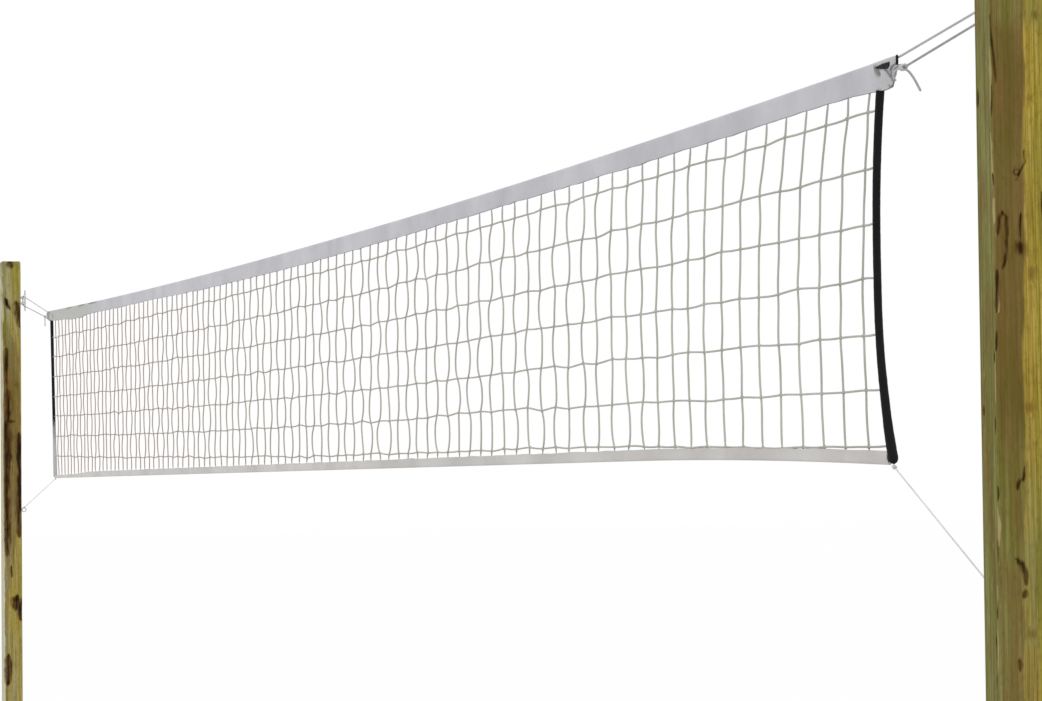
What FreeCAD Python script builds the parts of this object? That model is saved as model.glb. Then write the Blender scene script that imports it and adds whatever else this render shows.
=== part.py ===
import FreeCAD, Part
import math
import os
import Sketcher

# A volleyball net roped between two square timber posts.
# Millimetres, +Z up, the ground at z = 0 and the origin midway under the whole.
# The net hangs in the plane y = net_y, close behind the posts, and is seen from -Y.
# Stations along the net count from net_gap inside the right post's centre, +X to the right.

V = FreeCAD.Vector
doc = FreeCAD.newDocument("volleyball_net")
sheet = doc.addObject("Spreadsheet::Sheet", "Sizes")

SIZES = [
    ("post_side", 95, "side of a square post"),
    ("post_height", 2750, "post above the ground"),
    ("post_edge", 4, "worn round on the post's long edges"),
    ("post_bevel", 5, "bevel round the post's top"),
    ("post_span", 11361, "between the posts' centres"),
    ("right_turn", -11, "turn of the right post about Z, in degrees"),
    ("net_standoff", 18.5, "net plane behind the posts' back faces"),
    ("left_cleat_z", 2549, "middle of the left cleat"),
    ("right_cleat_z", 2457, "middle of the right cleat"),
    ("cleat_length", 110, "tip to tip"),
    ("cleat_thick", 13, "width of the bar"),
    ("cleat_leg", 12, "diameter of a leg"),
    ("cleat_leg_pitch", 31, "between the legs"),
    ("cleat_base_length", 64, "foot plate along the post"),
    ("cleat_base_width", 22, "foot plate across the post"),
    ("cleat_base_thick", 4, "thickness of the foot plate"),
    ("cleat_throat", 24, "post to the underside of the bar"),
    ("cleat_bar", 9, "height of the bar at the middle"),
    ("cleat_crown", 1.5, "fall of the bar's outside to the tips"),
    ("cleat_tip", 4.5, "height of a horn's tip"),
    ("cleat_bevel", 1.5, "bevel on the bar's outer edges and tips"),
    ("screw_shank", 4.4, "screw diameter"),
    ("screw_play", 0.6, "hole over the screw in the cleat"),
    ("pilot_play", 0.1, "pilot hole over its shank in the timber"),
    ("screw_head", 8, "head diameter"),
    ("screw_head_height", 2.8, "head height"),
    ("screw_head_sink", 5, "depth of the head's seat"),
    ("screw_bite", 26, "pilot hole's depth in the timber"),
    ("screw_slot", 1.2, "driver slot"),
    ("left_eye_z", 1465.5, "middle of the left screw eye"),
    ("right_eye_z", 1345.5, "middle of the right screw eye"),
    ("ring_steps", 20, "straight lengths in a ring of wire or cord"),
    ("wire_sides", 8, "sides of its section"),
    ("eye_wire", 5, "wire of a screw eye"),
    ("eye_ring", 10.5, "ring radius to the middle of the wire"),
    ("eye_collar", 9, "diameter of the collar against the timber"),
    ("eye_collar_thick", 2, "thickness of the collar"),
    ("eye_bite", 30, "pilot hole's depth in the timber"),
    ("rope", 4.5, "head rope diameter"),
    ("foot_cord", 3, "foot cord and bottom tie diameter"),
    ("twine", 3, "netting cord"),
    ("seat_gap", 0.3, "gap between pieces that touch"),
    ("cord_play", 0.6, "gap round a cord in its sleeve"),
    ("loop_play", 0.6, "tie loop over the eye's wire"),
    ("net_gap", 582, "right post's centre to the net's station zero"),
    ("head_right_x", 20, "headband's right end"),
    ("head_right_z", 2414, "head rope at the right end"),
    ("head_low_x", -3300, "lowest point of the head rope"),
    ("head_low_z", 2384, "head rope at the lowest point"),
    ("head_left_x", -9930, "headband's left end"),
    ("head_left_z", 2447, "head rope at the left end"),
    ("head_chords_right", 4, "chords in the sag right of its lowest point"),
    ("head_chords_left", 7, "chords in the sag left of it"),
    ("headband", 45, "height of the headband"),
    ("band_cloth", 1.35, "headband cloth at the fold"),
    ("lip_cloth", 1.3, "cloth of one lip, or of the foot band"),
    ("lip_depth", 8, "netting held between the lips"),
    ("foot_bend_x", -1400, "where the foot line starts to fall to the right"),
    ("foot_bend_z", 1701, "foot cord there"),
    ("foot_slope", 0.00785, "rise of the foot line's straight part"),
    ("foot_right_z", 1691.5, "foot cord at the right sleeve"),
    ("foot_chords", 3, "chords in the foot line's bend"),
    ("footband", 25, "height of the foot band"),
    ("selvage", 5, "netting's closed edge beside a lip or sleeve"),
    ("sleeve", 16, "side sleeve's outer diameter"),
    ("sleeve_cloth", 1.7, "side sleeve's wall"),
    ("sleeve_drop", 1.5, "sleeve's middle below the headband"),
    ("right_sleeve_x", -64, "top of the right sleeve"),
    ("right_foot_x", -30, "foot of the right sleeve"),
    ("right_foot_z", 1690, "foot of the right sleeve"),
    ("right_bow", 43, "bow of the right rod to -X"),
    ("left_sleeve_x", -9813, "top of the left sleeve"),
    ("left_foot_x", -9725, "foot of the left sleeve"),
    ("left_foot_z", 1634, "foot of the left sleeve"),
    ("left_bow", 3, "bow of the left rod to -X"),
    ("bow_chords", 9, "chords in a rod's bow"),
    ("tab_height", 11.5, "webbing width of a corner tab"),
    ("tab_cloth", 1.8, "webbing thickness"),
    ("tab_leg", 108, "length of a tab's leg"),
    ("mesh", 101.6, "pitch of the real netting, 4 inches"),
    ("mesh_step", 2, "real meshes in one modelled gap"),
    ("mesh_rows", 7, "level cords in the real netting"),
    ("rim_steps", 8, "straight lengths in the netting's side edge"),
    ("first_cord_x", -147, "first upright cord"),
    ("row_right_z", 2331, "top level cord at the right"),
    ("row_left_z", 2318, "top level cord at the left"),
    ("row_sag", 28, "sag of the top level cord"),
    ("low_row_right_z", 1723, "bottom level cord at the right"),
    ("low_row_left_z", 1738, "bottom level cord at the left"),
    ("low_row_sag", 10, "sag of the bottom level cord"),
    ("knot_turns", 3, "turns in a corner knot"),
    ("small_knot_turns", 2, "turns in a foot knot, tie loop or hitch"),
    ("knot_sides", 12, "sides of a knot's barrel and of a screw"),
    ("knot_bulge", 1.45, "reach of a knot's turn, in cord diameters"),
    ("right_knot_z", 2393, "right corner knot"),
    ("left_knot_z", 2420, "left corner knot"),
    ("hitch_x", -10030, "middle of the hitch on the left rope"),
]

FORMULAS = [
    ("back_face", "post_side / 2"),
    ("net_reach", "back_face + net_standoff"),
    ("turn_cos", "cos(right_turn * 1 deg)"),
    ("turn_sin", "-sin(right_turn * 1 deg)"),
    ("turned_reach", "(back_face - post_edge) * (turn_cos + turn_sin) + post_edge"),
    ("cleat_top", "cleat_throat + cleat_bar"),
    ("front_reach", "net_reach * turn_cos + turned_reach"),
    ("rear_reach", "(cleat_top - net_standoff) * turn_cos + cleat_thick / 2 * turn_sin"),
    ("net_y", "(front_reach - rear_reach) / 2"),
    ("left_post_y", "net_y - net_reach"),
    ("right_post_y", "net_y - net_reach * turn_cos"),
    ("right_post_x", "(post_span + back_face - turned_reach) / 2"),
    ("left_post_x", "right_post_x - post_span"),
    ("net_x", "right_post_x - net_gap"),
    ("right_hook_x", "net_gap + net_reach * turn_sin"),
    ("left_hook_x", "net_gap - post_span"),
    ("cleat_root", "cleat_leg_pitch / 2 + cleat_leg"),
    ("tip_over", "cleat_top - cleat_crown"),
    ("tip_under", "tip_over - cleat_tip"),
    ("band_fold", "rope / 2 + cord_play + band_cloth"),
    ("foot_fold", "foot_cord / 2 + cord_play + lip_cloth"),
    ("lip_gap", "twine / 2 + seat_gap"),
    ("band_drop", "headband - band_fold"),
    ("foot_rise", "footband - foot_fold"),
    ("tab_top_drop", "rope / 2 + seat_gap"),
    ("head_right_radius", "((head_right_x - head_low_x) ^ 2 + (head_right_z - head_low_z) ^ 2)"
                          " / (2 * (head_right_z - head_low_z))"),
    ("head_left_radius", "((head_left_x - head_low_x) ^ 2 + (head_left_z - head_low_z) ^ 2)"
                         " / (2 * (head_left_z - head_low_z))"),
]

# What both side sleeves need; {side} is right or left.
SLEEVE_FORMULAS = [
    ("{side}_top_z", "head_low_z + head_{side}_radius - band_drop - sleeve_drop"
                     " - sqrt(head_{side}_radius ^ 2 - ({side}_sleeve_x - head_low_x) ^ 2)"),
    ("{side}_chord", "sqrt(({side}_foot_x - {side}_sleeve_x) ^ 2 + ({side}_top_z - {side}_foot_z) ^ 2)"),
    ("{side}_bow_radius", "{side}_chord ^ 2 / (8 * {side}_bow) + {side}_bow / 2"),
    ("{side}_chord_lean", "atan(({side}_foot_x - {side}_sleeve_x) / ({side}_top_z - {side}_foot_z)) / 1 deg"),
    ("{side}_half_bend", "asin({side}_chord / 2 / {side}_bow_radius) / 1 deg"),
    ("{side}_top_lean", "{side}_half_bend - {side}_chord_lean"),
    ("{side}_foot_lean", "{side}_half_bend + {side}_chord_lean"),
]

FOOT_FORMULAS = [
    ("foot_right_end_x", "right_foot_x - seat_gap - sleeve / 2 / cos(right_foot_lean * 1 deg)"
                         " - footband * tan(right_foot_lean * 1 deg)"),
    ("foot_left_end_x", "left_foot_x + seat_gap + sleeve / 2 / cos(left_foot_lean * 1 deg)"),
    ("foot_left_end_z", "foot_bend_z + (foot_left_end_x - foot_bend_x) * foot_slope"),
    ("foot_reach", "foot_right_end_x - foot_bend_x"),
    ("foot_fall", "foot_bend_z - foot_right_z"),
    ("foot_radius", "foot_reach ^ 2 / (2 * (foot_reach * foot_slope + foot_fall))"),
]


def fill_sheet():
    row = 1
    for alias, value, meaning in SIZES:
        sheet.set("A%d" % row, meaning)
        sheet.set("B%d" % row, str(value))
        sheet.setAlias("B%d" % row, alias)
        row += 1
    both = [(name.format(side=side), formula.format(side=side))
            for side in ("right", "left") for name, formula in SLEEVE_FORMULAS]
    for alias, formula in FORMULAS + both + FOOT_FORMULAS:
        sheet.set("B%d" % row, "=" + formula)
        sheet.setAlias("B%d" % row, alias)
        row += 1
    doc.recompute()


def number(expression):
    value = sheet.evalExpression(str(expression))
    return float(getattr(value, "Value", value))


def size(alias):
    return number("Sizes." + alias)


def place(thing, x="0", y="0", z="0", turn=None, axis=V(0, 0, 1)):
    """Bind a piece's Placement; turn is an angle about the axis in degrees."""
    if turn:
        thing.Placement = FreeCAD.Placement(V(), FreeCAD.Rotation(axis, number(turn)))
        thing.setExpression("Placement.Rotation.Angle", "(%s) * 1 deg" % turn)
    thing.setExpression("Placement.Base.x", x)
    thing.setExpression("Placement.Base.y", y)
    thing.setExpression("Placement.Base.z", z)


def new_body(label):
    body = doc.addObject("PartDesign::Body", label)
    body.Label = label
    return body


def new_sketch(body, role, lift=None):
    """A sketch on one of the body's own origin planes, lifted along its normal."""
    sketch = body.newObject("Sketcher::SketchObject", body.Name + "_sketch")
    plane = [item for item in body.Origin.OriginFeatures if item.Role == role][0]
    sketch.AttachmentSupport = [(plane, "")]
    sketch.MapMode = "FlatFace"
    if lift:
        sketch.setExpression("AttachmentOffset.Base.z", lift)
    return sketch


def dimension(sketch, kind, expression, *where):
    """One driving dimension, bound to the sheet; X and Y distances count from the origin."""
    value = number(expression)
    if kind in ("DistanceX", "DistanceY"):
        if abs(value) < 1e-9:
            axis = -2 if kind == "DistanceX" else -1
            sketch.addConstraint(Sketcher.Constraint("PointOnObject", where[0], where[1], axis))
            return
        where = (-1, 1) + where
    index = sketch.addConstraint(Sketcher.Constraint(kind, *(where + (value,))))
    sketch.setExpression("Constraints[%d]" % index, expression)


def arc_between(start, end, radius):
    """Arc of under a half circle; a positive radius bends to the left."""
    chord = end - start
    left = V(-chord.y, chord.x, 0).normalize()
    height = math.sqrt(radius ** 2 - (chord.Length / 2) ** 2)
    centre = (start + end) * 0.5 + left * math.copysign(height, radius)
    first, last = (start, end) if radius > 0 else (end, start)
    circle = Part.Circle(centre, V(0, 0, 1), abs(radius))
    angles = [math.atan2(p.y - centre.y, p.x - centre.x) for p in (first, last)]
    return Part.ArcOfCircle(circle, angles[0], angles[1])


def outline(sketch, points, arcs=None, closed=True):
    """Lines through the points, with an arc of the given radius on each edge named in arcs."""
    arcs = arcs or {}
    spots = [V(number(x), number(y), 0) for x, y in points]
    count = len(spots) if closed else len(spots) - 1
    edges = []
    for index in range(count):
        start, end = spots[index], spots[(index + 1) % len(spots)]
        if index in arcs:
            radius = number(arcs[index])
            edge = sketch.addGeometry(arc_between(start, end, radius))
            edges.append((edge, 1, 2) if radius > 0 else (edge, 2, 1))
        else:
            edges.append((sketch.addGeometry(Part.LineSegment(start, end)), 1, 2))
    for index, (edge, first, last) in enumerate(edges):
        dimension(sketch, "DistanceX", points[index][0], edge, first)
        dimension(sketch, "DistanceY", points[index][1], edge, first)
        if closed or index + 1 < count:
            after, after_first = edges[(index + 1) % count][:2]
            sketch.addConstraint(Sketcher.Constraint("Coincident", edge, last, after, after_first))
        else:
            dimension(sketch, "DistanceX", points[-1][0], edge, last)
            dimension(sketch, "DistanceY", points[-1][1], edge, last)
    for index, radius in arcs.items():
        dimension(sketch, "Radius", "abs(%s)" % radius, edges[index][0])


def disc(sketch, diameter, x="0", y="0"):
    circle = Part.Circle(V(number(x), number(y), 0), V(0, 0, 1), number(diameter) / 2)
    edge = sketch.addGeometry(circle)
    dimension(sketch, "Diameter", diameter, edge)
    dimension(sketch, "DistanceX", x, edge, 3)
    dimension(sketch, "DistanceY", y, edge, 3)


def pad(body, sketch, length, reverse=False, symmetric=False):
    feature = body.newObject("PartDesign::Pad", body.Name + "_pad")
    feature.Profile = sketch
    feature.setExpression("Length", length)
    feature.Reversed = reverse
    feature.SideType = "Symmetric" if symmetric else "One side"
    return feature


def pocket(body, sketch, length):
    feature = body.newObject("PartDesign::Pocket", body.Name + "_pocket")
    feature.Profile = sketch
    feature.setExpression("Length", length)
    return feature


def pipe(body, profile, spine):
    feature = body.newObject("PartDesign::AdditivePipe", body.Name + "_pipe")
    feature.Profile = profile
    feature.Spine = spine
    return feature


def soften(body, feature, kind, measure, test):
    """Fillet or chamfer the feature's edges that pass the test."""
    doc.recompute()
    names = ["Edge%d" % (n + 1) for n, edge in enumerate(feature.Shape.Edges) if test(edge)]
    softened = body.newObject("PartDesign::" + kind, body.Name + "_" + kind.lower())
    softened.Base = (feature, names)
    softened.setExpression("Radius" if kind == "Fillet" else "Size", measure)
    return softened


# Posts and their hardware

def make_post(side, turn=None):
    """Square timber with worn edges, a bevelled top and pilot holes in its back face."""
    body = new_body(side + "_post")
    section = new_sketch(body, "XY_Plane")
    half = "Sizes.back_face"
    outline(section, [("-" + half, "-" + half), (half, "-" + half), (half, half), ("-" + half, half)])
    timber = pad(body, section, "Sizes.post_height")
    middle = size("post_height") / 2
    bevelled = soften(body, timber, "Chamfer", "Sizes.post_bevel",
                      lambda edge: edge.BoundBox.ZMin > middle)
    soften(body, bevelled, "Fillet", "Sizes.post_edge", lambda edge: edge.Length > middle)
    screws = new_sketch(body, "XZ_Plane", "Sizes.screw_bite - Sizes.back_face")
    for sign in ("-", "+"):
        level = "Sizes.%s_cleat_z %s Sizes.cleat_leg_pitch / 2" % (side, sign)
        disc(screws, "Sizes.screw_shank + Sizes.pilot_play", "0", level)
    pocket(body, screws, "Sizes.screw_bite + Sizes.post_edge")
    shank = new_sketch(body, "XZ_Plane", "Sizes.eye_bite - Sizes.back_face")
    disc(shank, "Sizes.eye_wire + Sizes.pilot_play", "0", "Sizes.%s_eye_z" % side)
    pocket(body, shank, "Sizes.eye_bite + Sizes.post_edge")
    place(body, "Sizes.%s_post_x" % side, "Sizes.%s_post_y" % side, turn=turn)


def on_back_face(side):
    """Placement of the post's back face where its hardware sits."""
    x, y = "Sizes.%s_post_x" % side, "Sizes.%s_post_y" % side
    if side == "left":
        return {"x": x, "y": y + " + Sizes.back_face"}
    return {"x": x + " + Sizes.back_face * Sizes.turn_sin",
            "y": y + " + Sizes.back_face * Sizes.turn_cos",
            "turn": "Sizes.right_turn"}


def cleat_foot(body):
    """Foot plate with round ends and the two legs that stand on it."""
    plate = new_sketch(body, "XZ_Plane")
    half = "Sizes.cleat_base_width / 2"
    end = "Sizes.cleat_base_length / 2"
    side = "(%s - %s)" % (end, half)
    corners = [(half, "-" + side), (half, side), ("0", end), ("-" + half, side),
               ("-" + half, "-" + side), ("0", "-" + end)]
    outline(plate, corners, {1: half, 2: half, 4: half, 5: half})
    pad(body, plate, "Sizes.cleat_base_thick", reverse=True)
    legs = new_sketch(body, "XZ_Plane")
    for sign in ("-", ""):
        disc(legs, "Sizes.cleat_leg", "0", sign + "Sizes.cleat_leg_pitch / 2")
    pad(body, legs, "Sizes.cleat_throat + Sizes.cleat_bar / 2", reverse=True)


def cleat_bar(body):
    """The bar over the legs, its horns thinner and lifted towards their blunt tips."""
    profile = new_sketch(body, "YZ_Plane")
    tip = "Sizes.cleat_length / 2"
    waist = "(Sizes.cleat_length / 4 + Sizes.cleat_root / 2)"
    waist_under = "Sizes.cleat_throat + 0.4 * (Sizes.tip_under - Sizes.cleat_throat)"
    halves = []
    for sign in ("", "-"):
        halves.append([
            ("Sizes.cleat_throat", sign + "Sizes.cleat_root"), (waist_under, sign + waist),
            ("Sizes.tip_under", "%s(%s - Sizes.cleat_bevel)" % (sign, tip)),
            ("(Sizes.tip_under + Sizes.tip_over) / 2", sign + tip),
            ("Sizes.tip_over", "%s(%s - Sizes.cleat_bevel)" % (sign, tip)),
            ("Sizes.cleat_top", sign + "Sizes.cleat_root"),
        ])
    outline(profile, halves[0] + halves[1][::-1])
    bar = pad(body, profile, "Sizes.cleat_thick", symmetric=True)
    above, width = (size("tip_under") + size("tip_over")) / 2, size("cleat_thick")
    soften(body, bar, "Chamfer", "Sizes.cleat_bevel",
           lambda edge: edge.BoundBox.YMax > above and edge.BoundBox.YMin >= above
           and edge.BoundBox.XLength < width / 2)


def make_cleat(side):
    """Open rope cleat, screwed to the post through its legs."""
    body = new_body(side + "_cleat")
    cleat_foot(body)
    cleat_bar(body)
    seats = new_sketch(body, "XZ_Plane", "Sizes.screw_head_sink - Sizes.cleat_top")
    holes = new_sketch(body, "XZ_Plane")
    for sign in ("-", ""):
        level = sign + "Sizes.cleat_leg_pitch / 2"
        disc(seats, "Sizes.screw_head + Sizes.screw_play", "0", level)
        disc(holes, "Sizes.screw_shank + Sizes.screw_play", "0", level)
    pocket(body, seats, "Sizes.screw_head_sink + Sizes.cleat_bar")
    pocket(body, holes, "Sizes.cleat_top + Sizes.cleat_bar")
    place(body, z="Sizes.%s_cleat_z" % side, **on_back_face(side))


def polygon_wire(sides, radius, y):
    corners = []
    for n in range(sides + 1):
        angle = 2 * math.pi * (n % sides) / sides
        corners.append(V(radius * math.cos(angle), y, radius * math.sin(angle)))
    return Part.makePolygon(corners)


def screw_solid():
    """Slotted round-head screw along +Y; y = 0 is the timber's face."""
    seat = size("cleat_top") - size("screw_head_sink")
    tip = size("seat_gap") - size("screw_bite")
    shank, head, rise = size("screw_shank") / 2, size("screw_head") / 2, size("screw_head_height")
    sides = int(size("knot_sides"))
    taper = 3 * shank
    lower = [(0.1 * shank, tip), (shank, tip + taper), (shank, seat + 0.1 * rise)]
    upper = [(head, seat), (head, seat + 0.3 * rise), (0.6 * head, seat + rise)]
    parts = [Part.makeLoft([polygon_wire(sides, radius, y) for radius, y in part], True, True)
             for part in (lower, upper)]
    screw = parts[0].fuse(parts[1])
    slot = size("screw_slot")
    cutter = Part.makeBox(2 * head, rise, slot, V(-head, seat + rise / 2, -slot / 2))
    return screw.cut(cutter)


def make_screws():
    """The cleats' four identical screws, as one group."""
    screws = []
    for side in ("left", "right"):
        spot = on_back_face(side)
        turn = FreeCAD.Rotation(V(0, 0, 1), number(spot.get("turn", "0")))
        for sign in (-1, 1):
            level = size(side + "_cleat_z") + sign * size("cleat_leg_pitch") / 2
            screw = screw_solid()
            screw.Placement = FreeCAD.Placement(V(number(spot["x"]), number(spot["y"]), level), turn)
            screws.append(screw)
    group = doc.addObject("Part::Feature", "cleat_screws")
    group.Shape = Part.makeCompound(screws)
    group.Label = "cleat_screws"


def polygon_section(name, sides, radius):
    """A regular polygon in the XY plane."""
    section = doc.addObject("Part::RegularPolygon", name + "_section")
    section.Polygon = sides
    section.setExpression("Circumradius", radius)
    return section


def wire_ring(name, radius, wire):
    """A ring of wire about Z in short straight lengths, the wire's section a polygon."""
    sections = []
    steps = int(size("ring_steps"))
    for step in range(steps):
        angle = "(%d / %d * 360 deg)" % (step, steps)
        section = polygon_section(name, int(size("wire_sides")), wire + " / 2")
        upright = FreeCAD.Rotation(V(1, 0, 0), 90)
        section.Placement = FreeCAD.Placement(V(), FreeCAD.Rotation(V(0, 0, 1), 360.0 * step / steps) * upright)
        section.setExpression("Placement.Base.x", "%s * cos%s" % (radius, angle))
        section.setExpression("Placement.Base.y", "%s * sin%s" % (radius, angle))
        sections.append(section)
    ring = doc.addObject("Part::Loft", name)
    ring.Sections = sections
    ring.Solid = True
    ring.Ruled = True
    ring.Closed = True
    return ring


def make_eye(side):
    """Screw eye: a shank and collar along Y and a ring that stands upright in the YZ plane."""
    shank = doc.addObject("Part::Cylinder", side + "_eye_shank")
    collar = doc.addObject("Part::Cylinder", side + "_eye_collar")
    ring = wire_ring(side + "_eye_ring", "Sizes.eye_ring", "Sizes.eye_wire")
    shank.setExpression("Radius", "Sizes.eye_wire / 2")
    shank.setExpression("Height", "Sizes.eye_bite + Sizes.net_standoff - Sizes.eye_ring - Sizes.seat_gap")
    collar.setExpression("Radius", "Sizes.eye_collar / 2")
    collar.setExpression("Height", "Sizes.eye_collar_thick")
    for piece in (shank, collar):
        piece.Placement = FreeCAD.Placement(V(), FreeCAD.Rotation(V(1, 0, 0), -90))
    ring.Placement = FreeCAD.Placement(V(), FreeCAD.Rotation(V(0, 1, 0), 90))
    shank.setExpression("Placement.Base.y", "Sizes.seat_gap - Sizes.eye_bite")
    ring.setExpression("Placement.Base.y", "Sizes.net_standoff")
    eye = doc.addObject("Part::MultiFuse", side + "_foot_eye")
    eye.Shapes = [shank, collar, ring]
    eye.Label = side + "_foot_eye"
    place(eye, z="Sizes.%s_eye_z" % side, **on_back_face(side))


# Headband and foot band, each folded round its cord

def share_between(start, end, share):
    return "(%s + %.6f * (%s - %s))" % (start, share, end, start)


def head_line():
    """The head rope's shallow sag as short chords, from its right end to its left end."""
    line = []
    for side, start, end in (("right", "head_right_x", "head_low_x"), ("left", "head_low_x", "head_left_x")):
        steps = int(size("head_chords_" + side))
        for step in range(1 if line else 0, steps + 1):
            x = share_between("Sizes." + start, "Sizes." + end, step / steps)
            radius = "Sizes.head_%s_radius" % side
            rise = "%s - sqrt(%s ^ 2 - (%s - Sizes.head_low_x) ^ 2)" % (radius, radius, x)
            line.append((x, "Sizes.head_low_z + " + rise))
    return line


def foot_line():
    """The foot cord: short chords where it falls to the right, then one straight run."""
    line = []
    steps = int(size("foot_chords"))
    for step in range(steps):
        x = share_between("Sizes.foot_right_end_x", "Sizes.foot_bend_x", step / steps)
        beyond = "(%s - Sizes.foot_bend_x)" % x
        drop = "%s ^ 2 / (2 * Sizes.foot_radius)" % beyond
        line.append((x, "Sizes.foot_bend_z + Sizes.foot_slope * %s - %s" % (beyond, drop)))
    line.append(("Sizes.foot_bend_x", "Sizes.foot_bend_z"))
    line.append(("Sizes.foot_left_end_x", "Sizes.foot_left_end_z"))
    return line


def net_body(label):
    body = new_body(label)
    place(body, "Sizes.net_x", "Sizes.net_y")
    return body


def sweep_along(body, section, line):
    spine = new_sketch(body, "XZ_Plane")
    outline(spine, line, closed=False)
    pipe(body, section, spine)


def make_band(label, line, fold, lips_at, cord):
    """Cloth folded round a cord, its two lips holding the netting's edge between them.

    lips_at is the height of the lips' edge over the cord: below the headband's cord,
    above the foot band's.
    """
    body = net_body(label)
    start_x, start_z = line[0]
    up = number(lips_at) > 0
    section = new_sketch(body, "YZ_Plane", start_x)
    lip = "(Sizes.lip_gap + Sizes.lip_cloth)"
    edge_z = "%s + %s" % (start_z, lips_at)
    slot_z = "%s %s Sizes.lip_depth" % (edge_z, "-" if up else "+")
    fold_z = "%s %s %s" % (start_z, "-" if up else "+", fold)
    bend = fold if up else "-" + fold
    outline(section, [
        ("-" + fold, start_z), ("0", fold_z), (fold, start_z), (lip, edge_z), ("Sizes.lip_gap", edge_z),
        ("Sizes.lip_gap", slot_z), ("-Sizes.lip_gap", slot_z), ("-Sizes.lip_gap", edge_z),
        ("-" + lip, edge_z),
    ], {0: bend, 1: bend})
    disc(section, "%s + 2 * Sizes.cord_play" % cord, "0", start_z)
    sweep_along(body, section, line)


def make_band_cord(label, line, cord):
    body = net_body(label)
    section = new_sketch(body, "YZ_Plane", line[0][0])
    disc(section, cord, "0", line[0][1])
    sweep_along(body, section, line)


def head_z(x):
    """Height of the head rope at a station."""
    radius = size("head_right_radius" if x > size("head_low_x") else "head_left_radius")
    return size("head_low_z") + radius - math.sqrt(radius ** 2 - (x - size("head_low_x")) ** 2)


def foot_z(x):
    """Height of the foot cord at a station."""
    slope, bend_x, bend_z = size("foot_slope"), size("foot_bend_x"), size("foot_bend_z")
    if x < bend_x:
        return bend_z + (x - bend_x) * slope
    return bend_z + (x - bend_x) * slope - (x - bend_x) ** 2 / (2 * size("foot_radius"))


# Side sleeves and their rods

def bow_line(side):
    """A rod's shallow bow as short chords, from the headband down."""
    radius, top, foot = ("Sizes.%s_%s" % (side, name) for name in ("bow_radius", "top_lean", "foot_lean"))
    steps = int(size("bow_chords"))
    line = []
    for step in range(steps + 1):
        lean = "(%s - %.6f * (%s + %s))" % (top, step / steps, top, foot)
        x = "Sizes.%s_sleeve_x + %s * (cos(%s * 1 deg) - cos(%s * 1 deg))" % (side, radius, top, lean)
        z = "Sizes.%s_top_z - %s * (sin(%s * 1 deg) - sin(%s * 1 deg))" % (side, radius, top, lean)
        line.append((x, z))
    return line


def make_side(side, label, outer, inner=None):
    """A tube or rod bowed to -X, from the headband down to the foot band."""
    body = net_body(label)
    top_x, top_z = "Sizes.%s_sleeve_x" % side, "Sizes.%s_top_z" % side
    lean = "Sizes.%s_top_lean" % side
    section = new_sketch(body, "XY_Plane", top_z)
    section.AttachmentOffset = FreeCAD.Placement(V(), FreeCAD.Rotation(V(0, 1, 0), number(lean)))
    section.setExpression("AttachmentOffset.Rotation.Angle", lean + " * 1 deg")
    section.setExpression("AttachmentOffset.Base.x", top_x)
    disc(section, outer)
    if inner:
        disc(section, inner)
    sweep_along(body, section, bow_line(side))


def sleeve_x(side, z):
    """Station of a sleeve's middle at a height."""
    radius, lean = size(side + "_bow_radius"), math.radians(size(side + "_top_lean"))
    centre_x = size(side + "_sleeve_x") + radius * math.cos(lean)
    centre_z = size(side + "_top_z") - radius * math.sin(lean)
    return centre_x - math.sqrt(radius ** 2 - (z - centre_z) ** 2)


# Netting

def netting_edge_z(x, top):
    """Height of the netting's edge inside the lips, and of its first opening beside them."""
    if top:
        lips = head_z(x) - size("band_drop")
        return lips + size("lip_depth") - size("seat_gap"), lips - size("selvage")
    lips = foot_z(x) + size("foot_rise")
    return lips - size("lip_depth") + size("seat_gap"), lips + size("selvage")


def netting_side_x(side, z, inset=0.0):
    """Station of the netting's side edge, clear of the sleeve."""
    lean = math.radians(size(side + "_foot_lean"))
    clear = size("sleeve") / 2 / math.cos(lean) + size("seat_gap") + inset
    return sleeve_x(side, z) + (clear if side == "left" else -clear)


def row_z(row, x):
    """Height of a level cord at a station, rows counted in real meshes from the top one."""
    share = row / (size("mesh_rows") - 1)
    right = size("row_right_z") + share * (size("low_row_right_z") - size("row_right_z"))
    left = size("row_left_z") + share * (size("low_row_left_z") - size("row_left_z"))
    sag = size("row_sag") + share * (size("low_row_sag") - size("row_sag"))
    along = x / size("left_sleeve_x")
    return right + along * (left - right) - 4 * sag * along * (1 - along)


def gap_corner(uprights, levels, column, level, right, upper):
    """One corner of the gap to the right of a column's cord and above a level's cord."""
    half = size("twine") / 2
    cord = column - 1 if right else column
    bound = level if upper else level + 1

    def height(x):
        if bound == 0:
            return netting_edge_z(x, True)[1]
        if bound > len(levels):
            return netting_edge_z(x, False)[1]
        return row_z(levels[bound - 1], x) + (-half if upper else half)

    if cord < 0:
        x = netting_side_x("right", height(uprights[0]), size("selvage"))
    elif cord == len(uprights):
        x = netting_side_x("left", height(uprights[-1]), size("selvage"))
    else:
        x = uprights[cord] + (-half if right else half)
    return V(x, 0, height(x))


def netting_rim(uprights):
    """The netting's edge: inside both bands' lips and beside both sleeves."""
    def corner(side, top):
        near = size(side + ("_sleeve_x" if top else "_foot_x"))
        x = netting_side_x(side, netting_edge_z(near, top)[0])
        return V(x, 0, netting_edge_z(x, top)[0])

    def edge(top):
        return [V(x, 0, netting_edge_z(x, top)[0]) for x in uprights]

    def side_edge(side, start, end):
        steps = int(size("rim_steps"))
        heights = [start.z + (end.z - start.z) * n / steps for n in range(1, steps)]
        return [V(netting_side_x(side, z), 0, z) for z in heights]

    top_right, top_left = corner("right", True), corner("left", True)
    low_right, low_left = corner("right", False), corner("left", False)
    return ([top_right] + edge(True) + [top_left] + side_edge("left", top_left, low_left)
            + [low_left] + edge(False)[::-1] + [low_right] + side_edge("right", low_right, top_right))


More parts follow.
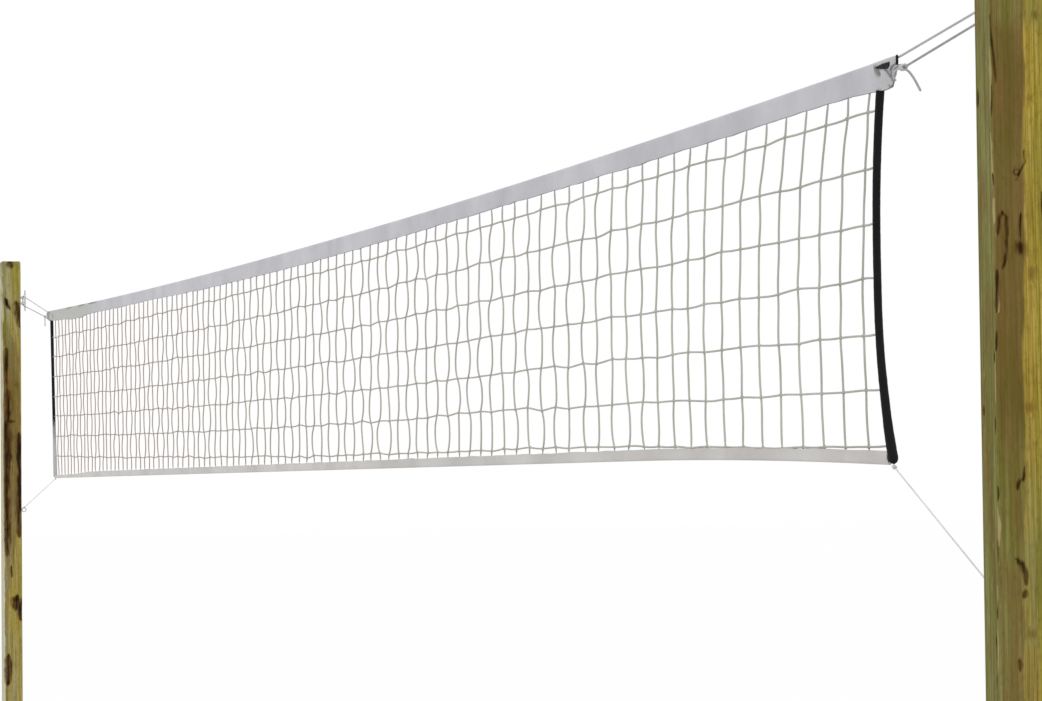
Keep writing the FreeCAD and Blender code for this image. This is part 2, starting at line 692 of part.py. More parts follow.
def make_netting():
    """One flat sheet with square gaps, each as wide as a few real meshes."""
    half = size("twine") / 2
    pitch = size("mesh") * size("mesh_step")
    room = size("first_cord_x") - netting_side_x("left", size("left_foot_z")) - size("selvage")
    uprights = [size("first_cord_x") - n * pitch for n in range(int(room / pitch) + 1)]
    step = int(size("mesh_step"))
    levels = range(step - 1, int(size("mesh_rows")), step)
    corners = ((True, True), (True, False), (False, False), (False, True))
    gaps = []
    for column in range(len(uprights) + 1):
        for level in range(len(levels) + 1):
            spots = [gap_corner(uprights, levels, column, level, *corner) for corner in corners]
            gaps.append(Part.makePolygon(spots + spots[:1]))
    rim = netting_rim(uprights)
    face = Part.Face([Part.makePolygon(rim + rim[:1])] + gaps)
    face.validate()
    face.translate(V(0, -half, 0))
    netting = doc.addObject("Part::Feature", "netting")
    netting.Shape = face.extrude(V(0, 2 * half, 0))
    netting.Label = "netting"
    place(netting, "Sizes.net_x", "Sizes.net_y")
    print("netting gaps: %d" % len(gaps))


# Corner tabs, knots and hitch

def make_tab(side):
    """Webbing folded round the headband's end, one leg sewn to each face."""
    body = net_body(side + "_corner_tab")
    end = "Sizes.head_%s_x" % side
    out, back = ("+", "-") if side == "right" else ("-", "+")
    bottom = "Sizes.head_%s_z - Sizes.tab_top_drop - Sizes.tab_height" % side
    section = new_sketch(body, "XY_Plane", bottom)
    inner = "(Sizes.band_fold + Sizes.seat_gap)"
    outer = "(%s + Sizes.tab_cloth)" % inner
    start = "%s %s Sizes.seat_gap" % (end, out)
    far = "%s %s Sizes.tab_leg" % (end, back)
    turn, unturn = ("", "-") if side == "right" else ("-", "")
    outline(section, [
        (start, "-" + outer), ("%s %s %s" % (start, out, outer), "0"), (start, outer), (far, outer),
        (far, inner), (start, inner), ("%s %s %s" % (start, out, inner), "0"), (start, "-" + inner),
        (far, "-" + inner), (far, "-" + outer),
    ], {0: turn + outer, 1: turn + outer, 5: unturn + inner, 6: unturn + inner})
    pad(body, section, "Sizes.tab_height")


def knot_form(label, cord, turns):
    """Barrel of cord turns about Z from z = 0 up, each turn a bulge with bevelled sides."""
    bulge = size("knot_bulge")
    heights = [(turn + share, reach) for turn in range(turns)
               for share, reach in ((0.0, 1.0), (0.25, bulge), (0.75, bulge))]
    sections = []
    for height, reach in heights + [(turns, 1.0)]:
        section = polygon_section(label, int(size("knot_sides")), "%.2f * %s" % (reach, cord))
        section.setExpression("Placement.Base.z", "%.2f * %s" % (height, cord))
        sections.append(section)
    knot = doc.addObject("Part::Loft", label)
    knot.Sections = sections
    knot.Solid = True
    knot.Ruled = True
    knot.Label = label
    return knot


def point_along(thing, spot, along):
    """Put a knot's foot at a spot in the net plane, its axis along a direction."""
    thing.Placement = FreeCAD.Placement(
        spot + V(size("net_x"), size("net_y"), 0), FreeCAD.Rotation(V(0, 0, 1), along))


def make_corner_knot(side):
    """The head rope's knot against the headband's end, below the rope's way out."""
    knot = knot_form(side + "_corner_knot", "Sizes.rope", int(size("knot_turns")))
    out, turn = ("+", "90") if side == "right" else ("-", "-90")
    start = "%s (Sizes.band_fold + Sizes.tab_cloth + 3 * Sizes.seat_gap)" % out
    place(knot, "Sizes.net_x + Sizes.head_%s_x %s" % (side, start), "Sizes.net_y",
          "Sizes.%s_knot_z" % side, turn=turn, axis=V(0, 1, 0))


def tie_line(side):
    """The net's foot corner, the tie's hold on the screw eye, and the direction between."""
    foot = V(size(side + "_foot_x"), 0, size(side + "_foot_z"))
    hold = V(size(side + "_hook_x"), 0, size(side + "_eye_z") + size("eye_ring"))
    return foot, hold, (hold - foot).normalize()


def foot_knot_start(side):
    """Just below the sleeve's end, which is cut parallel to its top, with the knot's rim clear of it."""
    foot, hold, along = tie_line(side)
    lean = math.radians(size(side + "_top_lean"))
    down = V(-math.sin(lean), 0, -math.cos(lean))
    tilt = along.getAngle(down)
    rim = max(math.sin(tilt), size("knot_bulge") * math.sin(tilt) - 0.25 * math.cos(tilt))
    return foot + down * (rim * size("foot_cord") + 2 * size("seat_gap"))


def make_foot_knot(side):
    knot = knot_form(side + "_foot_knot", "Sizes.foot_cord", int(size("small_knot_turns")))
    point_along(knot, foot_knot_start(side), tie_line(side)[2])


def loop_radius():
    return size("eye_wire") / 2 + size("loop_play") + size("foot_cord") / 2


def tie_ends(side):
    """Where the bottom tie starts at the foot knot and where it meets its loop's knot."""
    hold, along = tie_line(side)[1:]
    knot = size("small_knot_turns") * size("foot_cord")
    start = foot_knot_start(side) + along * (knot + 2 * size("seat_gap"))
    return start, hold - (hold - start).normalize() * (loop_radius() + knot)


def make_tie_loop(side):
    """Closed loop of the tie through the screw eye, with its knot."""
    hold = tie_line(side)[1]
    start, end = tie_ends(side)
    radius = "((Sizes.eye_wire + Sizes.foot_cord) / 2 + Sizes.loop_play)"
    ring = wire_ring(side + "_loop_ring", radius, "Sizes.foot_cord")
    ring.Placement = FreeCAD.Placement(hold, FreeCAD.Rotation(V(1, 0, 0), 90))
    knot = knot_form(side + "_loop_knot", "Sizes.foot_cord", int(size("small_knot_turns")))
    knot.Placement = FreeCAD.Placement(end, FreeCAD.Rotation(V(0, 0, 1), hold - start))
    loop = doc.addObject("Part::Fuse", side + "_tie_loop")
    loop.Base = ring
    loop.Tool = knot
    loop.Label = side + "_tie_loop"
    place(loop, "Sizes.net_x", "Sizes.net_y")


# Free ropes: tubes in the net plane, by station and height

def bend_route(points):
    """Straight runs joined by tangent arcs as large as the shorter run allows."""
    edges, start, radii = [], points[0], []
    for before, corner, after in zip(points, points[1:], points[2:]):
        back, on = before - corner, after - corner
        turn = math.pi - back.getAngle(on)
        trim = 0.45 * min(back.Length, on.Length)
        radius = trim / math.tan(turn / 2)
        back.normalize()
        on.normalize()
        middle = corner + (back + on).normalize() * (radius / math.cos(turn / 2) - radius)
        edges.append(Part.LineSegment(start, corner + back * trim).toShape())
        edges.append(Part.Arc(corner + back * trim, middle, corner + on * trim).toShape())
        start = corner + on * trim
        radii.append(radius)
    edges.append(Part.LineSegment(start, points[-1]).toShape())
    return edges, radii


def touch_point(spot, hook, radius, side):
    """Where a taut rope from a spot meets a round hook: anticlockwise of the line to the spot
    for side +1, as seen from -Y."""
    away = spot - hook
    angle = side * math.acos(radius / away.Length)
    away.normalize()
    return hook + V(away.x * math.cos(angle) - away.z * math.sin(angle), 0,
                    away.x * math.sin(angle) + away.z * math.cos(angle)) * radius


def hook_route(start, legs, radius, end, out):
    """Taut rope over the upper leg, down the far side, under the lower leg and back."""
    upper, lower = legs[0], legs[-1]
    far = V(out * radius, 0, 0)
    over = touch_point(start, upper, radius, -out)
    under = touch_point(end, lower, radius, out)
    edges = [Part.LineSegment(start, over).toShape()]
    if upper == lower:
        edges.append(Part.Arc(over, upper + far, under).toShape())
    else:
        crest = (over - upper + far).normalize() * radius
        sole = (under - lower + far).normalize() * radius
        edges.append(Part.Arc(over, upper + crest, upper + far).toShape())
        edges.append(Part.LineSegment(upper + far, lower + far).toShape())
        edges.append(Part.Arc(lower + far, lower + sole, under).toShape())
    edges.append(Part.LineSegment(under, end).toShape())
    return edges


def make_tube(label, edges, diameter):
    """A cord of round section along its route; prints its length and how full its volume is."""
    route = Part.Wire(edges)
    first = edges[0]
    ring = Part.Circle(first.valueAt(first.FirstParameter), first.tangentAt(first.FirstParameter), diameter / 2)
    tube = route.makePipeShell([Part.Wire(ring.toShape())], True, False)
    cord = doc.addObject("Part::Feature", label)
    cord.Shape = tube
    cord.Label = label
    place(cord, "Sizes.net_x", "Sizes.net_y")
    share = tube.Volume / (math.pi * (diameter / 2) ** 2 * route.Length)
    print("%s length %.1f volume share %.4f" % (label, route.Length, share))


def cleat_legs(side):
    """The cleat legs that the rope goes round: both on the left, the upper one on the right."""
    middle = V(size(side + "_hook_x"), 0, size(side + "_cleat_z"))
    half = V(0, 0, size("cleat_leg_pitch") / 2)
    return [middle + half, middle - half] if side == "left" else [middle + half]


def make_rope_loop(side):
    """The head rope's free loop: out of the headband, round the cleat and back to its knot."""
    out = 1 if side == "right" else -1
    gap = size("seat_gap")
    knot = size("band_fold") + size("tab_cloth") + size("knot_turns") * size("rope") + 4 * gap
    end_x = size("head_%s_x" % side)
    start = V(end_x + out * gap, 0, size("head_%s_z" % side))
    end = V(end_x + out * knot, 0, size(side + "_knot_z"))
    radius = size("cleat_leg") / 2 + gap + size("rope") / 2
    edges = hook_route(start, cleat_legs(side), radius, end, out)
    make_tube(side + "_rope_loop", edges, size("rope"))
    return end, (edges[-1].Vertexes[0].Point - end).normalize()


def make_hitch(knot_end, away):
    """Two turns of the tail round the left rope's lower strand."""
    turns = int(size("small_knot_turns"))
    barrel = knot_form("left_hitch_turns", "Sizes.rope", turns)
    bore = doc.addObject("Part::Cylinder", "left_hitch_bore")
    bore.setExpression("Radius", "Sizes.rope / 2 + Sizes.seat_gap")
    bore.setExpression("Height", "%d * Sizes.rope" % turns)
    hitch = doc.addObject("Part::Cut", "left_rope_hitch")
    hitch.Base = barrel
    hitch.Tool = bore
    hitch.Label = "left_rope_hitch"
    middle = knot_end + away * ((size("hitch_x") - knot_end.x) / away.x)
    point_along(hitch, middle - away * (turns * size("rope") / 2), away)


TAILS = {
    "right_rope_tail": [(40.8, 2388.9), (59, 2386), (77, 2376.5), (92, 2362), (104, 2343)],
    "left_rope_tail": [(-10030, 2423), (-10031.5, 2410), (-10030, 2395), (-10028, 2382)],
}


def make_tails():
    for label, route in TAILS.items():
        edges, radii = bend_route([V(x, 0, z) for x, z in route])
        print("%s radii %s" % (label, " ".join("%.0f" % radius for radius in radii)))
        make_tube(label, edges, size("rope"))


def make_ties():
    """Bottom ties, pulled straight from the net's foot corners to the screw eyes."""
    for side in ("right", "left"):
        start, end = tie_ends(side)
        make_tube(side + "_foot_tie", [Part.LineSegment(start, end).toShape()], size("foot_cord"))


def make_net():
    make_band("headband", head_line(), "Sizes.band_fold", "-Sizes.band_drop", "Sizes.rope")
    make_band_cord("head_rope", head_line(), "Sizes.rope")
    make_band("foot_band", foot_line(), "Sizes.foot_fold", "Sizes.foot_rise", "Sizes.foot_cord")
    make_band_cord("foot_rope", foot_line(), "Sizes.foot_cord")
    bore = "Sizes.sleeve - 2 * Sizes.sleeve_cloth"
    for side in ("right", "left"):
        make_side(side, side + "_side_sleeve", "Sizes.sleeve", bore)
        make_side(side, side + "_side_rod", bore + " - 2 * Sizes.seat_gap")
        make_tab(side)
        make_corner_knot(side)
        make_foot_knot(side)
        make_tie_loop(side)
    make_netting()


NODES = [
    "left_post", "right_post", "left_cleat", "right_cleat", "cleat_screws", "left_foot_eye",
    "right_foot_eye", "headband", "head_rope", "netting", "foot_band", "foot_rope",
    "left_side_sleeve", "right_side_sleeve", "left_side_rod", "right_side_rod",
    "left_corner_tab", "right_corner_tab", "left_corner_knot", "right_corner_knot",
    "left_rope_loop", "right_rope_loop", "left_rope_hitch", "left_rope_tail", "right_rope_tail",
    "left_foot_knot", "right_foot_knot", "left_foot_tie", "right_foot_tie",
    "left_tie_loop", "right_tie_loop",
]


def check_document():
    """Stop if anything in the document failed or a node's solid is missing or faulty."""
    for thing in doc.Objects:
        if "Invalid" in thing.State or "Error" in thing.State:
            raise RuntimeError("%s failed: %s" % (thing.Name, thing.State))
    for label in NODES:
        shape = doc.getObjectsByLabel(label)[0].Shape
        if shape.isNull() or not shape.isValid() or not shape.Solids:
            raise RuntimeError("%s has no valid solid" % label)


def write_nodes():
    os.makedirs("parts", exist_ok=True)
    for label in NODES:
        doc.getObjectsByLabel(label)[0].Shape.exportStep(os.path.join("parts", label + ".step"))


def main():
    fill_sheet()
    make_post("left")
    make_post("right", "Sizes.right_turn")
    for side in ("left", "right"):
        make_cleat(side)
        make_eye(side)
    make_screws()
    make_net()
    make_rope_loop("right")
    make_hitch(*make_rope_loop("left"))
    make_tails()
    make_ties()
    doc.recompute()
    check_document()
    write_nodes()


main()
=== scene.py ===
import math

import bpy
import numpy as np
from mathutils import Matrix, Vector


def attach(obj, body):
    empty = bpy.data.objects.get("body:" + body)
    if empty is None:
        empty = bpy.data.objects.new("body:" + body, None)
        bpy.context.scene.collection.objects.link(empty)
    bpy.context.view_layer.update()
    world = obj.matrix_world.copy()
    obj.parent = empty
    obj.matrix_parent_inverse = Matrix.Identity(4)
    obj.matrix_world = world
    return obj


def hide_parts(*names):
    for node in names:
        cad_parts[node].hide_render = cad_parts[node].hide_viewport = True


# The dressed model of the volleyball net roped between two timber posts.
# Metres, +Z up. The net hangs in the plane y = NET_Y and is seen from -Y.
# Stations along the net count from NET_X, +X to the right, as in the CAD source.

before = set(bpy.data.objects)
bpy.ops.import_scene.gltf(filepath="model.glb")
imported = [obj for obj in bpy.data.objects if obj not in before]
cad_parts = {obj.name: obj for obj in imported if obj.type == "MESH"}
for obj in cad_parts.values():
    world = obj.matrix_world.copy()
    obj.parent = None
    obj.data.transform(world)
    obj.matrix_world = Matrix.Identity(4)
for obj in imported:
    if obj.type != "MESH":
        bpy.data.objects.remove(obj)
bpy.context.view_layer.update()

SIDES = ("right", "left")
NET_X = 5.09475
NET_Y = 0.05216
ROPE = 0.0045
KNOT_ROPE = 0.98 * ROPE
TIE = 0.003
TWINE = 0.0046

# The net's own lines, as in the CAD source
HEAD_RIGHT = (0.020, 2.414)
HEAD_LOW = (-3.300, 2.384)
HEAD_LEFT = (-9.930, 2.447)
FOOT_RIGHT = (-0.0483, 1.6915)
FOOT_BEND = (-1.400, 1.701)
FOOT_LEFT = (-9.7166, 1.6357)
FOOT_SLOPE = 0.00785
SLEEVES = {
    "right": {"top": -0.064, "foot": (-0.030, 1.690), "bow": 0.043},
    "left": {"top": -9.813, "foot": (-9.725, 1.634), "bow": 0.003},
}

# A band is a strip folded round its cord: the fold's radius, and its lips' height over the cord
CLOTH = 0.0012
LIP = 0.0031
HEAD_FOLD = 0.0042
HEAD_LIPS = HEAD_FOLD - 0.045
FOOT_FOLD = 0.0034
FOOT_LIPS = 0.025 - FOOT_FOLD

POSTS = {
    "left": {"centre": (-5.68425, -0.01384), "turn": 0.0},
    "right": {"centre": (5.67675, -0.01263), "turn": -11.0},
}
POST_SIDE = 0.095
POST_HEIGHT = 2.750
POST_EDGE = 0.004


def at(x, z, y=0.0):
    """A point of the net by station, height and distance behind the net plane."""
    return Vector((NET_X + x, NET_Y + y, z))


# Mesh and number helpers

def net_points(x, y, z):
    """Points by their stations, distances behind the net plane and heights."""
    return np.stack(np.broadcast_arrays(NET_X + x, NET_Y + y, z), axis=-1)


def read(table, x):
    """What a table of (place, value) rows says at x."""
    return np.interp(x, *np.array(sorted(table), float).T)


def unit(vector):
    """The vector's direction."""
    return np.asarray(vector, float) / np.linalg.norm(vector)


def new_piece(name, shape, material, smooth=True):
    """An object made of a shape, which is its vertices and its faces."""
    mesh = bpy.data.meshes.new(name)
    mesh.from_pydata(np.asarray(shape[0]).tolist(), [], shape[1])
    mesh.validate()
    mesh.polygons.foreach_set("use_smooth", [smooth] * len(mesh.polygons))
    mesh.update()
    mesh.materials.append(material)
    piece = bpy.data.objects.new(name, mesh)
    bpy.context.scene.collection.objects.link(piece)
    return piece


def dressed(name, shape, material, replaced=None, body="net", smooth=True):
    """A visible piece on its body and the solid that it stands for."""
    piece = new_piece(name, shape, material, smooth)
    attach(piece, body)
    if replaced:
        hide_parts(replaced)
    return piece


def add_values(piece, name, values):
    """A number or a vector at each vertex, for the piece's material."""
    values = np.asarray(values, np.float32)
    kind, field = ("FLOAT", "value") if values.ndim == 1 else ("FLOAT_VECTOR", "vector")
    piece.data.attributes.new(name, kind, "POINT").data.foreach_set(field, values.ravel())


def grid_faces(rows, columns, closed=False):
    """Quads between the points of a grid that is stored row by row."""
    faces = []
    for row in range(rows - 1):
        here, after = row * columns, (row + 1) * columns
        for column in range(columns if closed else columns - 1):
            beside = (column + 1) % columns
            faces.append((here + column, here + beside, after + beside, after + column))
    return faces


def tube_faces(rows, columns):
    """Quads round a tube's rings, and one face over each end."""
    last = (rows - 1) * columns
    ends = [tuple(range(columns))[::-1], tuple(range(last, last + columns))]
    return grid_faces(rows, columns, closed=True) + ends


def ripple(x, lengths, seed):
    """Smooth seeded noise between about -1 and 1, a sum of sines of these wavelengths."""
    chance = np.random.default_rng(seed)
    total = np.zeros_like(x, dtype=float)
    for length in lengths:
        for share in (1.0, 0.73, 0.57):
            total += np.sin(2 * np.pi * x / (length * share) + chance.uniform(0, 2 * np.pi))
    return total / (1.6 * math.sqrt(3 * len(lengths)))


def smooth_step(x, start, end):
    share = np.clip((x - start) / (end - start), 0.0, 1.0)
    return share * share * (3 - 2 * share)


# The net's lines

def head_z(x):
    """Height of the head rope at a station."""
    x = np.asarray(x, float)
    height = np.empty_like(x)
    for side, end in ((x > HEAD_LOW[0], HEAD_RIGHT), (x <= HEAD_LOW[0], HEAD_LEFT)):
        reach, rise = end[0] - HEAD_LOW[0], end[1] - HEAD_LOW[1]
        radius = (reach ** 2 + rise ** 2) / (2 * rise)
        height[side] = HEAD_LOW[1] + radius - np.sqrt(radius ** 2 - (x[side] - HEAD_LOW[0]) ** 2)
    return height


def foot_z(x):
    """Height of the foot cord at a station."""
    reach = FOOT_RIGHT[0] - FOOT_BEND[0]
    fall = FOOT_BEND[1] - FOOT_RIGHT[1]
    radius = reach ** 2 / (2 * (reach * FOOT_SLOPE + fall))
    beyond = np.asarray(x, float) - FOOT_BEND[0]
    return FOOT_BEND[1] + beyond * FOOT_SLOPE - np.where(beyond > 0, beyond ** 2 / (2 * radius), 0.0)


# How far below its middle the right sleeve bulges more than an even bow
RIGHT_SLUMP = ((1.690, 0.0), (1.715, 0.002), (1.751, 0.0045), (1.877, 0.006), (1.95, 0.004), (2.03, 0.0),
               (2.10, -0.001), (2.37, 0.0))
# How far a side sleeve's axis starts below the headband's lips
SLEEVE_GAP = 0.0015


def sleeve_x(side, z):
    """Station of a side sleeve's middle at a height."""
    z = np.asarray(z, float)
    sleeve = SLEEVES[side]
    top = float(head_z(sleeve["top"])) + HEAD_LIPS - SLEEVE_GAP
    foot_x, foot = sleeve["foot"]
    share = (top - z) / (top - foot)
    slump = read(RIGHT_SLUMP, z) if side == "right" else 0.0
    return sleeve["top"] + share * (foot_x - sleeve["top"]) - 4 * sleeve["bow"] * share * (1 - share) - slump


# Node materials: the helpers take and give sockets, whose id_data is their node tree

def new_material(name, **sockets):
    """A material, its node tree and its Principled shader, with plain socket values set."""
    material = bpy.data.materials.new(name)
    material.use_nodes = True
    shader = material.node_tree.nodes["Principled BSDF"]
    for socket, value in sockets.items():
        shader.inputs[socket.replace("_", " ")].default_value = value
    return material, material.node_tree, shader


def node(tree, kind, settings=None, inputs=None):
    """Adds a node; an input may be a number, a colour or another node's socket."""
    made = tree.nodes.new("ShaderNode" + kind)
    for key, value in (settings or {}).items():
        setattr(made, key, value)
    for key, value in (inputs or {}).items():
        if isinstance(value, bpy.types.NodeSocket):
            tree.links.new(value, made.inputs[key])
        else:
            made.inputs[key].default_value = value
    return made


def scaled(vector, scale):
    """A vector, such as a place, with each axis scaled."""
    return node(vector.id_data, "Mapping", inputs={"Vector": vector, "Scale": scale}).outputs["Vector"]


def place_coordinates(tree, scale=(1, 1, 1)):
    """Object coordinates, scaled."""
    return scaled(node(tree, "TexCoord").outputs["Object"], scale)


def stored(tree, name, output="Fac"):
    """What add_values left at the vertices under this name."""
    return node(tree, "Attribute", {"attribute_name": name}).outputs[output]


def noise(vector, scale, detail=3.0):
    inputs = {"Vector": vector, "Scale": scale, "Detail": detail, "Roughness": 0.55}
    return node(vector.id_data, "TexNoise", inputs=inputs).outputs["Fac"]


def mix(fac, first, second):
    """Between two colours, each given as values or as a socket."""
    first, second = (colour if isinstance(colour, bpy.types.NodeSocket) else (*colour, 1.0)
                     for colour in (first, second))
    return node(fac.id_data, "Mix", {"data_type": "RGBA"}, {0: fac, 6: first, 7: second}).outputs[2]


def math_node(operation, first, second):
    return node(first.id_data, "Math", {"operation": operation}, {0: first, 1: second}).outputs[0]


def plus(first, second):
    return math_node("ADD", first, second)


def times(first, second):
    return math_node("MULTIPLY", first, second)


def blend(first, first_share, second, second_share):
    """The sum of two values, each times its share."""
    return plus(times(first, first_share), times(second, second_share))


def rescale(value, low, high, new_low=0.0, new_high=1.0, settings=None):
    inputs = {"Value": value, "From Min": low, "From Max": high, "To Min": new_low, "To Max": new_high}
    return node(value.id_data, "MapRange", settings, inputs).outputs["Result"]


def feed(shader, name, output):
    """Links another node's output to one of the shader's inputs."""
    shader.id_data.links.new(output, shader.inputs[name])


def bump(shader, height, strength, distance):
    inputs = {"Height": height, "Strength": strength, "Distance": distance}
    feed(shader, "Normal", node(height.id_data, "Bump", inputs=inputs).outputs["Normal"])


def rgb(red, green, blue):
    """An 8-bit screen colour as linear values."""
    shares = (value / 255 for value in (red, green, blue))
    return tuple(share / 12.92 if share <= 0.04045 else ((share + 0.055) / 1.055) ** 2.4 for share in shares)


def cloth_material(name, light, dark, weave, relief, roughness=0.75, sheen=0.25, specular=0.5, stains_and_shade=()):
    """Woven cloth: crossed threads at the given pitch, slow patches of shade, and stains and painted
    shadow, each the name of a number at the vertices and the colour that it brings."""
    material, tree, shader = new_material(name, Roughness=roughness, Sheen_Weight=sheen,
                                          Specular_IOR_Level=specular)
    place = place_coordinates(tree)
    inputs = {"Vector": place, "Scale": math.pi / (10 * weave), "Distortion": 0.6, "Detail": 1.0}
    waves = [node(tree, "TexWave", {"bands_direction": axis}, inputs).outputs["Fac"] for axis in ("X", "Z")]
    threads = times(*waves)
    shade = plus(times(threads, 0.25), noise(place, 5.0, 4.0))
    colour = mix(rescale(shade, 0.35, 0.85), dark, light)
    blots = noise(place, 130.0, 4.0)
    for marking, marking_colour in stains_and_shade:
        # Stains, and the headband's painted shadow, laid on with uneven edges
        uneven = plus(stored(tree, marking), times(math_node("SUBTRACT", blots, 0.5), 0.5))
        colour = mix(rescale(uneven, 0.08, 0.75), colour, marking_colour)
    feed(shader, "Base Color", colour)
    bump(shader, threads, 0.5, relief)
    return material


def cord_material(name, light, dark, fibre=900.0, darkened=None, far=None):
    """Cord of spun fibre, with painted shade in its hollows. darkened is the colour of its darker stretches;
    far is the shade at the net's far end, which has weathered more."""
    material, tree, shader = new_material(name, Roughness=0.7, Sheen_Weight=0.1, Specular_IOR_Level=0.3)
    place = place_coordinates(tree)
    fibres = noise(place, fibre, 2.0)
    shade = blend(fibres, 0.4, noise(place, 9.0), 0.6)
    colour = mix(rescale(shade, 0.3, 0.7), dark, light)
    if darkened:
        flecks = rescale(noise(place, 420.0, 2.0), 0.42, 0.58, 0.45, 1.0)
        # Draws the loop's lower run and the tails darker, by the stored amount
        colour = mix(times(stored(tree, "darkened"), flecks), colour, darkened)
    if far:
        along = node(tree, "SeparateXYZ", inputs={"Vector": place}).outputs["X"]
        colour = mix(rescale(along, NET_X - 1.5, NET_X - 8.5), colour, far)
    feed(shader, "Base Color", colour)
    bump(shader, fibres, 0.4, 0.0003)
    return material


def metal_material(name, colour, roughness):
    """Galvanised or zinc-plated steel with faint spangle and scratches."""
    material, tree, shader = new_material(name, Metallic=0.9)
    place = place_coordinates(tree)
    spangle = node(tree, "TexVoronoi", inputs={"Vector": place, "Scale": 220.0}).outputs["Distance"]
    grain = noise(place, 600.0)
    darker = tuple(0.72 * value for value in colour)
    shade = blend(spangle, 0.5, grain, 0.5)
    feed(shader, "Base Color", mix(rescale(shade, 0.2, 0.7), darker, colour))
    feed(shader, "Roughness", rescale(grain, 0.3, 0.7, roughness - 0.08, roughness + 0.12))
    bump(shader, grain, 0.15, 0.0002)
    return material


def rod_material():
    """Glass fibre with the streaks of its strands."""
    material, tree, shader = new_material("glass_fibre_rod", Roughness=0.4)
    streaks = noise(place_coordinates(tree, (400, 400, 20)), 1.0)
    feed(shader, "Base Color", mix(streaks, rgb(205, 205, 198), rgb(170, 172, 168)))
    return material


# Camera, lights and stage

CAMERA_SPOT = (10.00545, -2.20924, 1.710)
CAMERA_YAW = 17.573
CAMERA_PITCH = 2.019
CAMERA_ROLL = -0.634
FOCAL_PIXELS = 3017.6
PHOTO_WIDTH = 1042
# Each lamp's strength, the angle that it fills and its turns, in degrees
LAMPS = {"key": (1.1, 40, (38, 12, 25)), "fill": (0.35, 60, (60, 0, 120))}
STAGE_REACH = 60.0


def make_camera():
    yaw, pitch, roll = (math.radians(angle) for angle in (CAMERA_YAW, CAMERA_PITCH, CAMERA_ROLL))
    ahead = Vector((-math.cos(yaw) * math.cos(pitch), math.sin(yaw) * math.cos(pitch), math.sin(pitch)))
    right = ahead.cross(Vector((0, 0, 1))).normalized()
    up = right.cross(ahead)
    right, up = (right * math.cos(roll) + up * math.sin(roll), up * math.cos(roll) - right * math.sin(roll))
    data = bpy.data.cameras.new("camera")
    data.sensor_width = 36.0
    data.lens = FOCAL_PIXELS / PHOTO_WIDTH * data.sensor_width
    data.clip_start, data.clip_end = 0.05, 200.0
    camera = bpy.data.objects.new("camera", data)
    turn = Matrix((right, up, -ahead)).transposed()
    camera.matrix_world = Matrix.Translation(CAMERA_SPOT) @ turn.to_4x4()
    bpy.context.scene.collection.objects.link(camera)
    bpy.context.scene.camera = camera
    bpy.context.scene.view_settings.view_transform = "Standard"


def seen_directly(tree):
    """1 where the camera, a mirror or glass sees the surface, 0 where it lights others."""
    path = node(tree, "LightPath")
    seen = math_node("MAXIMUM", path.outputs["Is Camera Ray"], path.outputs["Is Glossy Ray"])
    return math_node("MAXIMUM", seen, path.outputs["Is Transmission Ray"])


def make_lights():
    world = bpy.data.worlds.new("studio")
    bpy.context.scene.world = world
    world.use_nodes = True
    tree = world.node_tree
    background = tree.nodes["Background"]
    background.inputs["Color"].default_value = (1.0, 1.0, 1.0, 1.0)
    feed(background, "Strength", rescale(seen_directly(tree), 0.0, 1.0, 0.72, 1.0))
    for name, (energy, spread, turn) in LAMPS.items():
        lamp = bpy.data.lights.new(name, "SUN")
        lamp.energy = energy
        lamp.angle = math.radians(spread)
        holder = bpy.data.objects.new(name, lamp)
        holder.rotation_euler = [math.radians(angle) for angle in turn]
        bpy.context.scene.collection.objects.link(holder)


def make_floor():
    """A floor that looks almost white, as the photo's ground is, and still takes light."""
    material, tree, shader = new_material("floor_paint", Roughness=0.9, Base_Color=(0.8, 0.8, 0.8, 1.0))
    glow = node(tree, "Emission", inputs={"Color": (1.0, 1.0, 1.0, 1.0), "Strength": 1.0})
    lift = rescale(seen_directly(tree), 0.0, 1.0, 0.0, 0.95)
    blended = node(tree, "MixShader", inputs={0: lift, 1: shader.outputs["BSDF"], 2: glow.outputs["Emission"]})
    feed(tree.nodes["Material Output"], "Surface", blended.outputs["Shader"])
    corners = [(STAGE_REACH * x, STAGE_REACH * y, 0) for x, y in ((-1, -1), (1, -1), (1, 1), (-1, 1))]
    new_piece("floor", (corners, [(0, 1, 2, 3)]), material, smooth=False)


# Tubes

def tube_mesh(path, radius, sides, reference=(0.0, 1.0, 0.0)):
    """A closed tube's shape; radius is a number, one per ring, or one per point, and the
    reference is a direction that the path never takes."""
    reference = np.array(reference)
    tangent = np.gradient(path, axis=0)
    tangent /= np.linalg.norm(tangent, axis=1)[:, None]
    side = reference - (tangent @ reference)[:, None] * tangent
    side /= np.linalg.norm(side, axis=1)[:, None]
    other = np.cross(tangent, side)
    angle = np.arange(sides) * 2 * np.pi / sides
    reach = np.asarray(radius, float)
    if reach.ndim < 2:
        reach = np.broadcast_to(reach.reshape(-1, 1), (len(path), sides))
    angle = angle[None, :, None]
    round_it = np.cos(angle) * side[:, None, :] + np.sin(angle) * other[:, None, :]
    rings = path[:, None, :] + reach[:, :, None] * round_it
    return rings.reshape(-1, 3), tube_faces(len(path), sides)


def joined(shapes):
    """Several shapes as one."""
    vertices, faces, count = [], [], 0
    for shape_vertices, shape_faces in shapes:
        vertices.append(np.asarray(shape_vertices, float))
        faces += [tuple(index + count for index in face) for face in shape_faces]
        count += len(shape_vertices)
    return np.concatenate(vertices), faces


def runs_along(line):
    """The distance from a line's start to each of its points."""
    return np.concatenate([[0.0], np.cumsum(np.linalg.norm(np.diff(line, axis=0), axis=1))])


